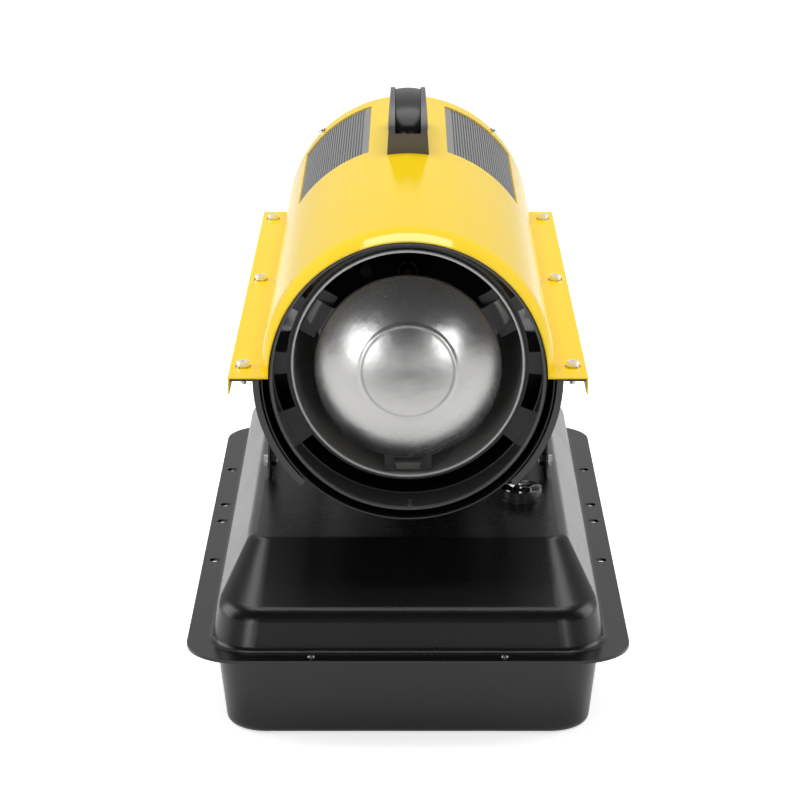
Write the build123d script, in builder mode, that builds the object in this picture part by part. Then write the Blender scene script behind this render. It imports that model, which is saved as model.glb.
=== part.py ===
from build123d import *
import math
import os

os.makedirs("parts", exist_ok=True)

# Forced air heater, oil fired: a two-piece barrel over a pressed fuel tank.
# Millimetres. The origin is the middle of the tank's underside, +Z is up, the hot
# outlet faces -Y and +X is on the right of someone who looks into the outlet.

# ---- fuel tank ----
TANK_WIDTH = 320.0
TANK_LENGTH = 604.0
TANK_SHEET = 1.2
RIM_WIDTH = 18.0
RIM_CORNER_R = 42.0
PAN_DEPTH = 64.0
PAN_INSET = 3.0
PAN_TAPER = 7.0
PAN_CORNER_R = 30.0
PAN_EDGE_R = 6.5
WALL_RISE = 29.0
WALL_TAPER = 4.5
WALL_CORNER_R = 32.0
WALL_FOOT_R = 4.0
ROOF_RISE = 33.5
ROOF_SIDE_RUN = 21.0
ROOF_FRONT_RUN = 71.0
ROOF_REAR_RUN = 40.0
ROOF_CORNER_R = 16.0
SHOULDER_R = 13.0
PLATEAU_EDGE_R = 9.0
RIM_HOLE_R = 4.2
RIM_HOLES_Y = 43.0
RIM_PITCH_OUTER = 242.0
RIM_PITCH_INNER = 44.0
RIM_RIVET_X = 69.0

# ---- barrel ----
BARREL_GAP = 28.9
BARREL_FRONT = -258.0
BARREL_REAR = 303.0
SHELL_R = 105.3
SHELL_SHEET = 1.0
NECK_LENGTH = 25.0
UPPER_NECK_DRAW = 5.3
LOWER_NECK_DRAW = 1.3
WING_REACH = 22.2
WING_LIP = 11.5
WING_BEND_R = 3.0
VENT_FRONT = 65.0
VENT_REAR = 277.0
VENT_INNER_ANGLE = 17.5
VENT_OUTER_ANGLE = 57.0
VENT_BORDER = 3.0
VENT_SLOTS = 26
VENT_SLOT = 1.2
GRILLE_SHEET = 1.2
GRILLE_LAP_ANGLE = 2.0
GRILLE_LAP = 4.0
FIRST_SLOT_ANGLE = 3.2
LAST_SLOT_ANGLE = 1.0

# ---- handle ----
HANDLE_FRONT = 36.0
HANDLE_LENGTH = 136.0
HANDLE_HEIGHT = 38.5
HANDLE_FOOT_WIDTH = 34.0
HANDLE_TOP_WIDTH = 28.0
GRIP_THICKNESS = 15.0
HANDLE_FOOT = 29.0

# ---- outlet and combustion chamber ----
RING_SHEET = 0.8
RING_FRONT = -253.0
RING_FLOOR = -214.0
BEAD_R = 1.4
WINDOW_MARGIN = 0.6
WINDOW_HEIGHT = 9.8
CHAMBER_R = 83.2
CHAMBER_BEAD_R = 1.2
CHAMBER_SHEET = 0.8
CHAMBER_FRONT = -218.0
CHAMBER_REAR = 84.0
DOME_R = 67.5
DOME_EDGE = -225.0
DOME_RISE = 17.0
DOME_RING_R = 34.0
DOME_LEG_WIDTH = 17.5
DOME_SHEET = 1.0

# ---- motor, fan and pump ----
FAN_GAP = 10.3
FAN_Y = 139.0
FAN_HUB_R = 20.0
FAN_HUB_LENGTH = 22.0
FAN_BLADES = 5
FAN_CHORD = 58.0
FAN_PITCH = 32.0
BLADE_SHEET = 1.4
SHAFT_R = 4.0
MOTOR_FRONT = 158.0
MOTOR_LENGTH = 88.0
MOTOR_R = 43.0
MOTOR_WALL = 1.8
BELL_LENGTH = 8.0
BEARING_R = 11.0
ROTOR_R = 25.0
PUMP_R = 32.0
PUMP_LENGTH = 14.0
PUMP_BORE_R = 22.0
PUMP_OFFSET = 1.5
VANE_SHEET = 4.0

# ---- fuel gauge and filler, both on the tank's plateau ----
GAUGE_X = 87.0
GAUGE_Y = -109.0
GAUGE_R = 15.5
FLOAT_R = 13.5
FLOAT_HEIGHT = 18.0
FILLER_X = -82.0
FILLER_Y = 130.0
NECK_R = 18.0
CAP_WALL = 4.0

# ---- controls ----
BOX_LEFT = 22.0
BOX_RIGHT = 98.0
BOX_FRONT = 125.0
BOX_REAR = 228.0
BOX_HEIGHT = 66.0
BOX_WALL = 2.0
PANEL_SHEET = 3.0
KNOB_X = 82.0
KNOB_RISE = 14.0
KNOB_R = 9.5
SWITCH_RISE = 36.0
SWITCH_R = 8.0
SWITCH_WIDTH = 12.0
DISPLAY_X = 60.0
DISPLAY_WIDTH = 20.0
DISPLAY_HEIGHT = 12.0
DISPLAY_RISE = 15.0
GLAND_X = 38.0
GLAND_RISE = 15.0
GLAND_R = 6.0
CORD_BORE_R = 3.6

# ---- hoses, leads and fasteners ----
HOSE_R = 3.0
HOSE_BORE_R = 1.6
HOSE_X = 10.0
HOSE_Y = 98.0
HOSE_BEND_R = 13.0
UNDER_HOSE_DROP = 15.0
LEAD_R = 1.6
LEAD_BEND_R = 9.0
SCREW_R = 2.0
SCREW_HOLE_R = 2.25
SCREW_HEAD_R = 4.6
SCREW_HEAD = 3.2
WASHER_R = 5.7
WASHER_SHEET = 1.0
NUT_ACROSS = 7.0
NUT_HEIGHT = 3.2
WING_SCREW_INSET = 9.5
WING_SCREW_Y = (-228.0, 41.0, 272.0)

# ---- side supports ----
SUPPORT_SHEET = 1.2
SUPPORT_GAP = 3.7
SUPPORT_ARC = 46.0
SUPPORT_FRONT = -256.0
SUPPORT_REAR = 290.0
WEB_X = 109.2
FRONT_LEG = (-58.0, 60.0)
FRONT_LEG_SCREWS = (-45.0, 47.0)
REAR_LEG_LENGTH = 39.0
REAR_LEG_INSET = 10.5
REAR_SCREW_INSET = 29.5
LEG_SCREW_RISE = 10.0
LEG_TAB_LENGTH = 18.0
LEG_TAB_HEIGHT = 20.0

# ---- clearances ----
SLIP = 0.3
RUNNING = 0.05
SEAT = 0.02
# How far from a plane its edges are looked for, and how far a cutter stands past a face.
NEAR = 0.01
PAST = 5.0

# ---- levels and planes worked out from the sizes above ----
JOINT_Z = PAN_DEPTH + TANK_SHEET
RIM_TOP = JOINT_Z + TANK_SHEET
SHOULDER_Z = JOINT_Z + WALL_RISE
PLATEAU_Z = SHOULDER_Z + ROOF_RISE
BARREL_Z = PLATEAU_Z + BARREL_GAP + SHELL_R
WALL_HALF_WIDTH = TANK_WIDTH / 2 - RIM_WIDTH
WALL_HALF_LENGTH = TANK_LENGTH / 2 - RIM_WIDTH
PLATEAU_REAR = WALL_HALF_LENGTH - WALL_TAPER - ROOF_REAR_RUN
SHELL_INNER_R = SHELL_R - SHELL_SHEET
UPPER_NECK_R = SHELL_R - UPPER_NECK_DRAW
LOWER_NECK_R = SHELL_R - LOWER_NECK_DRAW
WING_HALF = SHELL_R + WING_REACH
WING_SCREW_X = WING_HALF - WING_SCREW_INSET
RING_R = UPPER_NECK_R - SHELL_SHEET - SLIP
WINDOW_OUTER_R = RING_R - RING_SHEET - WINDOW_MARGIN
WINDOW_INNER_R = WINDOW_OUTER_R - WINDOW_HEIGHT
FAN_R = SHELL_INNER_R - FAN_GAP
CAP_R = NECK_R + CAP_WALL
REAR_LEG = (PLATEAU_REAR - REAR_LEG_INSET - REAR_LEG_LENGTH, PLATEAU_REAR - REAR_LEG_INSET)
LEG_SPANS = (FRONT_LEG, REAR_LEG)
LEG_SCREW_Y = (*FRONT_LEG_SCREWS, PLATEAU_REAR - REAR_SCREW_INSET)
BARREL_LENGTH = BARREL_REAR - BARREL_FRONT
BARREL_MIDDLE = (BARREL_REAR + BARREL_FRONT) / 2
UNDER_Z = BARREL_Z - SHELL_R - UNDER_HOSE_DROP
SUPPORT_R = SHELL_R + SUPPORT_GAP + SUPPORT_SHEET
BARREL_AXIS = Axis((0, 0, BARREL_Z), (0, 1, 0))
ALONG = Plane(origin=(0, 0, BARREL_Z), x_dir=(0, 1, 0), z_dir=(1, 0, 0))


def across(y, x=0.0, z=BARREL_Z):
    """A plane across the barrel that faces the outlet, with X right and Z up."""
    return Plane(origin=(x, y, z), x_dir=(1, 0, 0), z_dir=(0, -1, 0))


def level(z, x=0.0, y=0.0):
    """A level plane at a height, over one place of the tank."""
    return Plane(origin=(x, y, z), x_dir=(1, 0, 0), z_dir=(0, 0, 1))


def save(part, label):
    """Label a finished piece and write it to its own file."""
    part.label = label
    export_step(part, f"parts/{label}.step")


def shell_drop(x, radius=SHELL_R):
    """Height of a barrel-shaped surface's underside at a distance from the middle."""
    return BARREL_Z - math.sqrt(radius**2 - x**2)


def tube(rear, length, outer_r, inner_r):
    """A plain tube along the barrel's axis, from its rear end forwards."""
    with BuildPart() as body:
        with BuildSketch(across(rear)):
            Circle(outer_r)
            Circle(inner_r, mode=Mode.SUBTRACT)
        extrude(amount=length)
    return body.part


def turned(*outline):
    """A solid turned about the barrel's axis from (y, radius) points."""
    with BuildPart() as body:
        with BuildSketch(ALONG):
            with BuildLine():
                Polyline(*outline, close=True)
            make_face()
        revolve(axis=BARREL_AXIS)
    return body.part


def upright(x, y, *outline):
    """A solid turned about a vertical axis at x, y from (radius, z) points."""
    with BuildPart() as body:
        with BuildSketch(Plane(origin=(x, y, 0), x_dir=(1, 0, 0), z_dir=(0, -1, 0))):
            with BuildLine():
                Polyline(*outline, close=True)
            make_face()
        revolve(axis=Axis((x, y, 0), (0, 0, 1)))
    return body.part


def swept_tube(points, radii, outer_r, bore_r=0.0):
    """A hose or lead along straight runs joined by arcs."""
    with BuildPart() as body:
        with BuildLine() as route:
            if len(points) > 2:
                FilletPolyline(*points, radius=radii)
            else:
                Line(*points)
        path = route.wire()
        with BuildSketch(Plane(origin=path @ 0, z_dir=path % 0)):
            Circle(outer_r)
            if bore_r:
                Circle(bore_r, mode=Mode.SUBTRACT)
        sweep(path=path)
    expected = math.pi * (outer_r**2 - bore_r**2) * path.length
    print("tube", round(path.length, 1), "mm, volume ratio", round(body.part.volume / expected, 4))
    return body.part


def wedge(start, end, reach=140.0):
    """A pie slice between two angles, counted from +X towards +Z."""
    middle = (start + end) / 2
    corners = [(0, 0)]
    for angle in (start, middle, end):
        turn = math.radians(angle)
        corners.append((reach * math.cos(turn), reach * math.sin(turn)))
    with BuildSketch() as slice_face:
        with BuildLine():
            Polyline(*corners, close=True)
        make_face()
    return slice_face.sketch


# ---------------------------------------------------------------- fuel tank


def pan_form(inset):
    """The lower half as a full block; the inset gives its inner face."""
    top_width = 2 * (WALL_HALF_WIDTH - PAN_INSET - inset)
    top_length = 2 * (WALL_HALF_LENGTH - PAN_INSET - inset)
    corner = PAN_CORNER_R - inset
    with BuildPart() as form:
        with BuildSketch(level(inset)):
            RectangleRounded(top_width - 2 * PAN_TAPER, top_length - 2 * PAN_TAPER, corner)
        with BuildSketch(level(JOINT_Z)):
            RectangleRounded(top_width, top_length, corner)
        loft(ruled=True)
        bottom = form.edges().filter_by_position(Axis.Z, inset - NEAR, inset + NEAR)
        fillet(bottom, PAN_EDGE_R - inset)
    return form.part


def roof_form(inset):
    """The upper half as a full block; the inset gives its inner face."""
    base = (2 * (WALL_HALF_WIDTH - inset), 2 * (WALL_HALF_LENGTH - inset))
    shoulder = (base[0] - 2 * WALL_TAPER, base[1] - 2 * WALL_TAPER)
    plateau_length = shoulder[1] - ROOF_FRONT_RUN - ROOF_REAR_RUN
    plateau_y = (ROOF_FRONT_RUN - ROOF_REAR_RUN) / 2
    corner = WALL_CORNER_R - inset
    with BuildPart() as form:
        with BuildSketch(level(JOINT_Z)):
            RectangleRounded(*base, corner)
        with BuildSketch(level(SHOULDER_Z - inset)):
            RectangleRounded(*shoulder, corner)
        loft(ruled=True)
        with BuildSketch(level(SHOULDER_Z - inset)):
            RectangleRounded(*shoulder, corner)
        with BuildSketch(level(PLATEAU_Z - inset)):
            with Locations((0, plateau_y)):
                RectangleRounded(shoulder[0] - 2 * ROOF_SIDE_RUN, plateau_length, ROOF_CORNER_R)
        loft(ruled=True)
        shoulder_edges = form.edges().filter_by_position(
            Axis.Z, SHOULDER_Z - inset - NEAR, SHOULDER_Z - inset + NEAR
        )
        fillet(shoulder_edges, SHOULDER_R - inset)
        top_edges = form.faces().sort_by(Axis.Z)[-1].edges()
        fillet(top_edges, PLATEAU_EDGE_R - inset)
    return form.part


def beside_wall(edge):
    """Whether an edge of the rim's top lies at the wall's foot."""
    middle = edge.center()
    return abs(middle.X) < WALL_HALF_WIDTH and abs(middle.Y) < WALL_HALF_LENGTH


def rim_holes():
    """The four holes down each side of the tank's rim, as places in plan."""
    rim_x = TANK_WIDTH - RIM_WIDTH
    places = []
    for pitch in (RIM_PITCH_OUTER, RIM_PITCH_INNER):
        for side in (-1, 1):
            for end in (-1, 1):
                places.append((side * rim_x / 2, RIM_HOLES_Y + end * pitch / 2))
    return places


RIVET_Y = TANK_LENGTH / 2 - RIM_WIDTH / 2
RIM_RIVETS = [(x, y) for x in (-RIM_RIVET_X, RIM_RIVET_X) for y in (-RIVET_Y, RIVET_Y)]
RIVET_R = 1.6
RIVET_HEAD_R = 3.0
RIVET_HEAD = 1.2
RIVET_BEVEL = 1.0
DRAIN_X = -80.0
DRAIN_INSET = 77.0
DRAIN_Y = DRAIN_INSET - TANK_LENGTH / 2
DRAIN_R = 7.0
POCKET_R = 20.0
POCKET_DEPTH = 9.0
GAUGE_HOLE_R = 14.5
PICKUP_R = 5.0
PICKUP_X, PICKUP_Y = -HOSE_X, 160.0

pan_outer = pan_form(0.0)
pan_inner = pan_form(TANK_SHEET)
with BuildPart() as tank_lower_half:
    add(pan_outer)
    with BuildSketch(level(PAN_DEPTH)):
        RectangleRounded(TANK_WIDTH, TANK_LENGTH, RIM_CORNER_R)
    extrude(amount=TANK_SHEET)
    add(pan_inner, mode=Mode.SUBTRACT)
    with BuildSketch(level(0.0, DRAIN_X, DRAIN_Y)):
        Circle(POCKET_R + TANK_SHEET)
    extrude(amount=POCKET_DEPTH + TANK_SHEET)
    with BuildSketch(level(0.0, DRAIN_X, DRAIN_Y)):
        Circle(POCKET_R)
    extrude(amount=POCKET_DEPTH, mode=Mode.SUBTRACT)
    with BuildSketch(level(0.0, DRAIN_X, DRAIN_Y)):
        Circle(DRAIN_R + SLIP)
    extrude(amount=POCKET_DEPTH + TANK_SHEET, mode=Mode.SUBTRACT)
    with BuildSketch(level(PAN_DEPTH)):
        with Locations(*rim_holes()):
            Circle(RIM_HOLE_R)
        with Locations(*RIM_RIVETS):
            Circle(RIVET_R + SLIP)
    extrude(amount=TANK_SHEET, mode=Mode.SUBTRACT)
save(tank_lower_half.part, "tank_lower_half")

roof_outer = roof_form(0.0)
roof_inner = roof_form(TANK_SHEET)
TAB_X = WEB_X - SUPPORT_SHEET
with BuildPart() as tank_upper_half:
    add(roof_outer)
    with BuildSketch(level(JOINT_Z)):
        RectangleRounded(TANK_WIDTH, TANK_LENGTH, RIM_CORNER_R)
    extrude(amount=TANK_SHEET)
    wall_foot = tank_upper_half.edges().filter_by_position(Axis.Z, RIM_TOP - NEAR, RIM_TOP + NEAR)
    fillet(wall_foot.filter_by(beside_wall), WALL_FOOT_R)
    # The welded lugs that the side supports' legs are screwed to.
    for side in (-1, 1):
        for y in LEG_SCREW_Y:
            with Locations((side * (TAB_X - TANK_SHEET / 2), y, PLATEAU_Z - TANK_SHEET / 2)):
                Box(
                    TANK_SHEET,
                    LEG_TAB_LENGTH,
                    LEG_TAB_HEIGHT + TANK_SHEET / 2,
                    align=(Align.CENTER, Align.CENTER, Align.MIN),
                )
    add(roof_inner, mode=Mode.SUBTRACT)
    with Locations(*[Location((0, y, PLATEAU_Z + LEG_SCREW_RISE), (0, 90, 0)) for y in LEG_SCREW_Y]):
        Cylinder(SCREW_HOLE_R, TANK_WIDTH, mode=Mode.SUBTRACT)
    with BuildSketch(level(JOINT_Z)):
        with Locations(*rim_holes()):
            Circle(RIM_HOLE_R)
        with Locations(*RIM_RIVETS):
            Circle(RIVET_R + SLIP)
    extrude(amount=TANK_SHEET, mode=Mode.SUBTRACT)
    with BuildSketch(level(PLATEAU_Z - TANK_SHEET)):
        with Locations((GAUGE_X, GAUGE_Y)):
            Circle(GAUGE_HOLE_R)
        with Locations((FILLER_X, FILLER_Y)):
            Circle(NECK_R + SLIP)
        with Locations((PICKUP_X, PICKUP_Y)):
            Circle(PICKUP_R + SLIP)
    extrude(amount=TANK_SHEET, mode=Mode.SUBTRACT)
save(tank_upper_half.part, "tank_upper_half")

# Two rivets hold each end of the rim, and two more close the outlet ring's seam.
SEAM_RIVETS = ((1.6, -245.0), (1.6, -233.0))
SEAM_RIVET_R = 1.2
SEAM_RIVET_HEAD_R = 2.2
SEAM_RIVET_TAIL = 0.1
SEAM_RIVET_LIFT = 0.2
with BuildPart() as rivets:
    for x, y in RIM_RIVETS:
        add(
            upright(
                x,
                y,
                (0, PAN_DEPTH - RIVET_HEAD),
                (RIVET_HEAD_R - RIVET_BEVEL, PAN_DEPTH - RIVET_HEAD),
                (RIVET_HEAD_R, PAN_DEPTH),
                (RIVET_R, PAN_DEPTH),
                (RIVET_R, RIM_TOP),
                (RIVET_HEAD_R, RIM_TOP),
                (RIVET_HEAD_R - RIVET_BEVEL, RIM_TOP + RIVET_HEAD),
                (0, RIM_TOP + RIVET_HEAD),
            )
        )
    ring_low = BARREL_Z - RING_R
    head_low = ring_low + RING_SHEET + SEAM_RIVET_LIFT
    for x, y in SEAM_RIVETS:
        add(
            upright(
                x,
                y,
                (0, ring_low - SEAM_RIVET_TAIL),
                (SEAM_RIVET_R, ring_low - SEAM_RIVET_TAIL),
                (SEAM_RIVET_R, head_low),
                (SEAM_RIVET_HEAD_R, head_low),
                (SEAM_RIVET_HEAD_R - 0.6, head_low + 1.0),
                (0, head_low + 1.0),
            )
        )
save(rivets.part, "rivets")

# Drain plug, let into a pocket so that the tank still stands flat.
DRAIN_SEAL = 1.5
DRAIN_SEAL_R = 10.0
DRAIN_HEX_R = 9.5
DRAIN_HEAD = 5.0
DRAIN_THREAD = 6.0
with BuildPart() as drain_plug:
    with BuildSketch(level(POCKET_DEPTH - DRAIN_SEAL - DRAIN_HEAD, DRAIN_X, DRAIN_Y)):
        RegularPolygon(DRAIN_HEX_R, 6, major_radius=False)
    extrude(amount=DRAIN_HEAD)
    with BuildSketch(level(POCKET_DEPTH - DRAIN_SEAL, DRAIN_X, DRAIN_Y)):
        Circle(DRAIN_R)
    extrude(amount=DRAIN_SEAL + TANK_SHEET + DRAIN_THREAD)
    chamfer(drain_plug.faces().sort_by(Axis.Z)[-1].edges(), 0.8)
save(drain_plug.part, "drain_plug")

# ---------------------------------------------------------------- filler

NECK_FLANGE = 5.0
NECK_RISE = 13.0
NECK_WALL = 1.5
NECK_DIP = 8.0
NECK_FLANGE_R = NECK_R + NECK_FLANGE
NECK_TOP = PLATEAU_Z + NECK_RISE
NECK_BORE_R = NECK_R - NECK_WALL
STRAINER_R = NECK_BORE_R - SLIP
STRAINER_DEPTH = 70.0
STRAINER_RIM = 0.8
STRAINER_WALL = 1.0
WINDOW_ROWS = 4
WINDOWS_ROUND = 12
ROW_PITCH = 11.0
FIRST_ROW = 9.0
STRAINER_WINDOW = (6.0, 4.0, 7.0)
FILLER_SEAL = 1.5
STRAINER_BOTTOM = NECK_TOP - STRAINER_DEPTH
SEAL_TOP = NECK_TOP + STRAINER_RIM + FILLER_SEAL

save(
    upright(
        FILLER_X,
        FILLER_Y,
        (NECK_BORE_R, PLATEAU_Z - NECK_DIP),
        (NECK_R, PLATEAU_Z - NECK_DIP),
        (NECK_R, PLATEAU_Z),
        (NECK_FLANGE_R, PLATEAU_Z),
        (NECK_FLANGE_R, PLATEAU_Z + TANK_SHEET),
        (NECK_R, PLATEAU_Z + TANK_SHEET),
        (NECK_R, NECK_TOP),
        (NECK_BORE_R, NECK_TOP),
    ),
    "filler_neck",
)

strainer_form = upright(
    FILLER_X,
    FILLER_Y,
    (0, STRAINER_BOTTOM),
    (STRAINER_R, STRAINER_BOTTOM),
    (STRAINER_R, NECK_TOP),
    (NECK_R, NECK_TOP),
    (NECK_R, NECK_TOP + STRAINER_RIM),
    (STRAINER_R - STRAINER_WALL, NECK_TOP + STRAINER_RIM),
    (STRAINER_R - STRAINER_WALL, STRAINER_BOTTOM + STRAINER_WALL),
    (0, STRAINER_BOTTOM + STRAINER_WALL),
)
with BuildPart() as filler_strainer:
    add(strainer_form)
    # Rows of windows, which the real basket fills with mesh.
    depth, width, height = STRAINER_WINDOW
    for row in range(WINDOW_ROWS):
        row_z = STRAINER_BOTTOM + FIRST_ROW + ROW_PITCH * row
        with BuildSketch(level(row_z, FILLER_X, FILLER_Y)):
            with PolarLocations(STRAINER_R, WINDOWS_ROUND):
                Rectangle(depth, width)
        extrude(amount=height, mode=Mode.SUBTRACT)
save(filler_strainer.part, "filler_strainer")

drain_seal_form = upright(
    DRAIN_X,
    DRAIN_Y,
    (DRAIN_R + SLIP, POCKET_DEPTH - DRAIN_SEAL),
    (DRAIN_SEAL_R, POCKET_DEPTH - DRAIN_SEAL),
    (DRAIN_SEAL_R, POCKET_DEPTH),
    (DRAIN_R + SLIP, POCKET_DEPTH),
)
filler_seal_form = upright(
    FILLER_X,
    FILLER_Y,
    (STRAINER_R, NECK_TOP + STRAINER_RIM),
    (NECK_R, NECK_TOP + STRAINER_RIM),
    (NECK_R, SEAL_TOP),
    (STRAINER_R, SEAL_TOP),
)
with BuildPart() as tank_seals:
    add(drain_seal_form)
    add(filler_seal_form)
save(tank_seals.part, "tank_seals")

PLUG_DISC = 2.0
PLUG_DEPTH = 7.0
PLUG_GAP = 2.0
STEM_R = 6.0
STEM_RISE = 4.0
STEM_TOP = SEAL_TOP + SLIP + PLUG_DISC + STEM_RISE
save(
    upright(
        FILLER_X,
        FILLER_Y,
        (0, SEAL_TOP - PLUG_DEPTH),
        (STRAINER_R - PLUG_GAP, SEAL_TOP - PLUG_DEPTH),
        (STRAINER_R - PLUG_GAP + 0.4, SEAL_TOP + SLIP),
        (NECK_R, SEAL_TOP + SLIP),
        (NECK_R, SEAL_TOP + SLIP + PLUG_DISC),
        (STEM_R, SEAL_TOP + SLIP + PLUG_DISC),
        (STEM_R, STEM_TOP),
        (0, STEM_TOP),
    ),
    "filler_plug",
)

CAP_CROWN = 3.0
CAP_SKIRT = 6.0
CAP_EDGE = 2.0
CAP_BORE_R = NECK_R + 1.0
CAP_FLUTES = 14
FLUTE_R = 3.0
CAP_TOP = STEM_TOP + CAP_CROWN
CAP_BOTTOM = SEAL_TOP - CAP_SKIRT
CAP_ROOF = SEAL_TOP + 2 * SLIP + PLUG_DISC
cap_form = upright(
    FILLER_X,
    FILLER_Y,
    (CAP_BORE_R, CAP_BOTTOM),
    (CAP_R, CAP_BOTTOM),
    (CAP_R, CAP_TOP - CAP_EDGE),
    (CAP_R - CAP_EDGE, CAP_TOP),
    (0, CAP_TOP),
    (0, STEM_TOP + SLIP),
    (STEM_R + RUNNING, STEM_TOP + SLIP),
    (STEM_R + RUNNING, CAP_ROOF),
    (CAP_BORE_R, CAP_ROOF),
)
with BuildPart() as filler_cap:
    add(cap_form)
    with BuildSketch(level(CAP_BOTTOM, FILLER_X, FILLER_Y)):
        with PolarLocations(CAP_R + 2.0, CAP_FLUTES):
            Circle(FLUTE_R)
    extrude(amount=CAP_TOP - CAP_BOTTOM, mode=Mode.SUBTRACT)
save(filler_cap.part, "filler_cap")

# ---------------------------------------------------------------- fuel gauge

GAUGE_FLANGE_R = GAUGE_R + 2.0
GAUGE_FLANGE = 1.5
GAUGE_FLOOR = PLATEAU_Z + 2.5
GAUGE_RIM = PLATEAU_Z + 7.5
GAUGE_BORE_R = GAUGE_R - 1.5
GAUGE_PLUG_R = FLOAT_R - 1.5
SPINDLE_R = 1.2
GUIDE_TOP = PLATEAU_Z - 9.0
GUIDE_BOTTOM = 12.0
GUIDE_PLATE = 2.0
ROD_R = 1.5
ROD_X = 9.0
FLOAT_LOW = GUIDE_BOTTOM + GUIDE_PLATE + 1.0
STRIP_HALF = 2.4
STRIP_BORE_R = STRIP_HALF + 0.6
STRIP_SHEET = 0.8
GUIDE_FOOT = 6.0
POINTER_HUB_R = 2.5
POINTER_LENGTH = 12.0
POINTER_WIDTH = 1.2
POINTER_Z = GAUGE_FLOOR + 1.0

save(
    upright(
        GAUGE_X,
        GAUGE_Y,
        (SPINDLE_R + RUNNING, GUIDE_TOP),
        (GAUGE_PLUG_R, GUIDE_TOP),
        (GAUGE_PLUG_R, PLATEAU_Z),
        (GAUGE_FLANGE_R, PLATEAU_Z),
        (GAUGE_FLANGE_R, PLATEAU_Z + GAUGE_FLANGE),
        (GAUGE_R, PLATEAU_Z + GAUGE_FLANGE),
        (GAUGE_R, GAUGE_RIM),
        (GAUGE_BORE_R, GAUGE_RIM),
        (GAUGE_BORE_R, GAUGE_FLOOR),
        (SPINDLE_R + RUNNING, GAUGE_FLOOR),
    ),
    "gauge_body",
)

LENS_RISE = 3.5
LENS_SPHERE_R = (GAUGE_R**2 + LENS_RISE**2) / (2 * LENS_RISE)
LENS_EDGE = GAUGE_RIM + 1.0
with BuildPart() as gauge_lens:
    with BuildSketch(Plane(origin=(GAUGE_X, GAUGE_Y, 0), x_dir=(1, 0, 0), z_dir=(0, -1, 0))):
        half_way = LENS_EDGE + LENS_RISE - LENS_SPHERE_R + math.sqrt(LENS_SPHERE_R**2 - GAUGE_R**2 / 4)
        with BuildLine():
            Polyline((0, LENS_EDGE + LENS_RISE), (0, GAUGE_RIM), (GAUGE_R, GAUGE_RIM), (GAUGE_R, LENS_EDGE))
            ThreePointArc((GAUGE_R, LENS_EDGE), (GAUGE_R / 2, half_way), (0, LENS_EDGE + LENS_RISE))
        make_face()
    revolve(axis=Axis((GAUGE_X, GAUGE_Y, 0), (0, 0, 1)))
save(gauge_lens.part, "gauge_lens")

with BuildPart() as gauge_guide:
    with BuildSketch(level(GUIDE_TOP - GUIDE_PLATE, GAUGE_X, GAUGE_Y)):
        Circle(FLOAT_R)
        Circle(STRIP_BORE_R, mode=Mode.SUBTRACT)
    extrude(amount=GUIDE_PLATE)
    with BuildSketch(level(GUIDE_BOTTOM, GAUGE_X, GAUGE_Y)):
        SlotOverall(2 * ROD_X + GUIDE_FOOT, GUIDE_FOOT)
        Circle(SPINDLE_R + RUNNING, mode=Mode.SUBTRACT)
    extrude(amount=GUIDE_PLATE)
    with BuildSketch(level(GUIDE_BOTTOM, GAUGE_X, GAUGE_Y)):
        with Locations((-ROD_X, 0), (ROD_X, 0)):
            Circle(ROD_R)
    extrude(amount=GUIDE_TOP - GUIDE_BOTTOM)
save(gauge_guide.part, "gauge_guide")

with BuildPart() as gauge_float:
    with BuildSketch(level(FLOAT_LOW, GAUGE_X, GAUGE_Y)):
        Circle(FLOAT_R)
        Circle(STRIP_BORE_R, mode=Mode.SUBTRACT)
        with Locations((-ROD_X, 0), (ROD_X, 0)):
            Circle(ROD_R + SLIP, mode=Mode.SUBTRACT)
    extrude(amount=FLOAT_HEIGHT)
save(gauge_float.part, "gauge_float")

with BuildPart() as gauge_spindle:
    strip_low = GUIDE_BOTTOM + GUIDE_PLATE + 0.5
    with BuildSketch(level(GUIDE_BOTTOM, GAUGE_X, GAUGE_Y)):
        Circle(SPINDLE_R)
    extrude(amount=POINTER_Z - GUIDE_BOTTOM)
    with BuildSketch(level(strip_low, GAUGE_X, GAUGE_Y)):
        Rectangle(2 * STRIP_HALF, STRIP_SHEET)
    extrude(amount=GUIDE_TOP - strip_low - 0.5)
    with BuildSketch(level(POINTER_Z, GAUGE_X, GAUGE_Y)):
        Circle(POINTER_HUB_R)
        with Locations((0, POINTER_LENGTH / 2 - 1.0)):
            Rectangle(POINTER_WIDTH, POINTER_LENGTH)
    extrude(amount=STRIP_SHEET)
save(gauge_spindle.part, "gauge_spindle")

# ---------------------------------------------------------------- barrel shells


def barrel_core(radius, neck_r, front, rear):
    """The barrel as a full round bar, drawn in over its first stretch."""
    with BuildPart() as core:
        with BuildSketch(ALONG):
            with BuildLine():
                neck_start = (BARREL_FRONT + NECK_LENGTH, radius)
                neck_end = (BARREL_FRONT, neck_r)
                TangentArc(neck_start, neck_end, tangent=(-1, 0))
                Polyline(neck_end, (front, neck_r), (front, 0), (rear, 0), (rear, radius), neck_start)
            make_face()
        revolve(axis=BARREL_AXIS)
    return core.part


def wing_screw_places():
    """The six places where the barrel's two halves are screwed together."""
    return [(side * WING_SCREW_X, y) for side in (-1, 1) for y in WING_SCREW_Y]


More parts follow.
